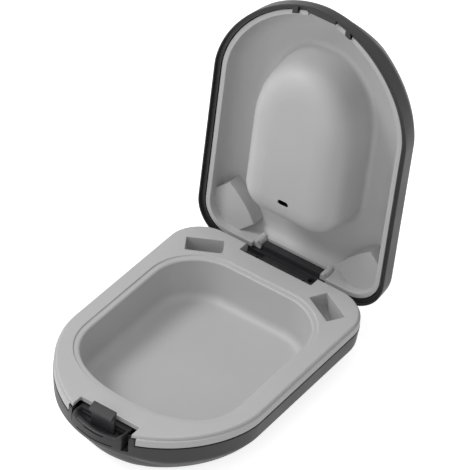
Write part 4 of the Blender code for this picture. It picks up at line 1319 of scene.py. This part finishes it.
def whiteWorld():
    world = bpy.data.worlds.new("studioWorld")
    bpy.context.scene.world = world
    world.use_nodes = True
    world.node_tree.nodes.clear()
    light = addNode(world, "ShaderNodeBackground", {
        "Color": studio["white"],
        "Strength": studio["backgroundLight"],
    })
    white = addNode(world, "ShaderNodeBackground", {"Color": studio["white"]})
    mix = addNode(world, "ShaderNodeMixShader", {
        0: seenDirectly(world),
        1: light.outputs[0],
        2: white.outputs[0],
    })
    addNode(world, "ShaderNodeOutputWorld", {"Surface": mix.outputs[0]})


def paleFloorPaper():
    # matt background paper: it takes the soft shadow, and seen directly it is lifted to the white around it
    material = newMaterial("paleFloorPaper")
    paper = addNode(material, "ShaderNodeBsdfDiffuse", {"Color": linearColour(studio["floorColour"])})
    glow = addNode(material, "ShaderNodeEmission", {"Strength": studio["floorGlow"]})
    dark = addNode(material, "ShaderNodeEmission", {"Strength": 0.0})
    lift = addNode(material, "ShaderNodeMixShader", {
        0: seenDirectly(material),
        1: dark.outputs[0],
        2: glow.outputs[0],
    })
    both = addNode(material, "ShaderNodeAddShader", {0: paper.outputs[0], 1: lift.outputs[0]})
    addNode(material, "ShaderNodeOutputMaterial", {"Surface": both.outputs[0]})
    return material


def paleFloor():
    deselectAll()
    bpy.ops.mesh.primitive_plane_add(size=2 * studio["floorHalfSize"] * mm)
    floor = bpy.context.object
    floor.name = floor.data.name = "floor"
    floor.data.materials.append(paleFloorPaper())


def softLamps():
    aim = Vector(camera["target"]) * mm
    for name, place, size, watts in studio["lamps"]:
        data = bpy.data.lights.new(name, "AREA")
        data.shape = "DISK"
        data.size = size * mm
        data.energy = watts
        lamp = bpy.data.objects.new(name, data)
        bpy.context.scene.collection.objects.link(lamp)
        lamp.location = Vector(place) * mm
        lamp.rotation_euler = (aim - lamp.location).to_track_quat("-Z", "Y").to_euler()


def photoCamera():
    azimuth = math.radians(camera["azimuth"])
    elevation = math.radians(camera["elevation"])
    roll = math.radians(camera["roll"])
    back = Vector((
        math.sin(azimuth) * math.cos(elevation),
        -math.cos(azimuth) * math.cos(elevation),
        math.sin(elevation),
    ))
    level = Vector((0, 0, 1)).cross(back).normalized()
    upright = back.cross(level)
    right = level * math.cos(roll) + upright * math.sin(roll)
    up = upright * math.cos(roll) - level * math.sin(roll)
    place = back * camera["distance"] + right * camera["across"] + up * camera["up"]
    place = (place + Vector(camera["target"])) * mm
    data = bpy.data.cameras.new("photoCamera")
    data.lens = camera["lens"]
    data.sensor_width = camera["sensorWidth"]
    view = bpy.data.objects.new("photoCamera", data)
    bpy.context.scene.collection.objects.link(view)
    turn = Matrix((right, up, back)).transposed()
    view.matrix_world = Matrix.Translation(place) @ turn.to_4x4()
    bpy.context.scene.camera = view


def carriedNodes(material):  # pin and springs keep their own meshes
    for name in ("hinge_pin", "latch_spring_left", "latch_spring_right"):
        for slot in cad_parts[name].material_slots:
            slot.material = material


def buildScene():
    bpy.context.scene.view_settings.view_transform = "Standard"
    photoCamera()
    whiteWorld()
    paleFloor()
    softLamps()
    print("stage, light and camera ready")
    charcoal = mouldedCharcoalAbs()
    lightGrey = mouldedLightGreyAbs()
    carriedNodes(drawnSpringSteel())
    makeBottomShell(charcoal)
    makeBottomTray(lightGrey)
    makeLidShell(charcoal)
    makeLidTray(lightGrey)
    makeLatchButton(charcoal)


buildScene()
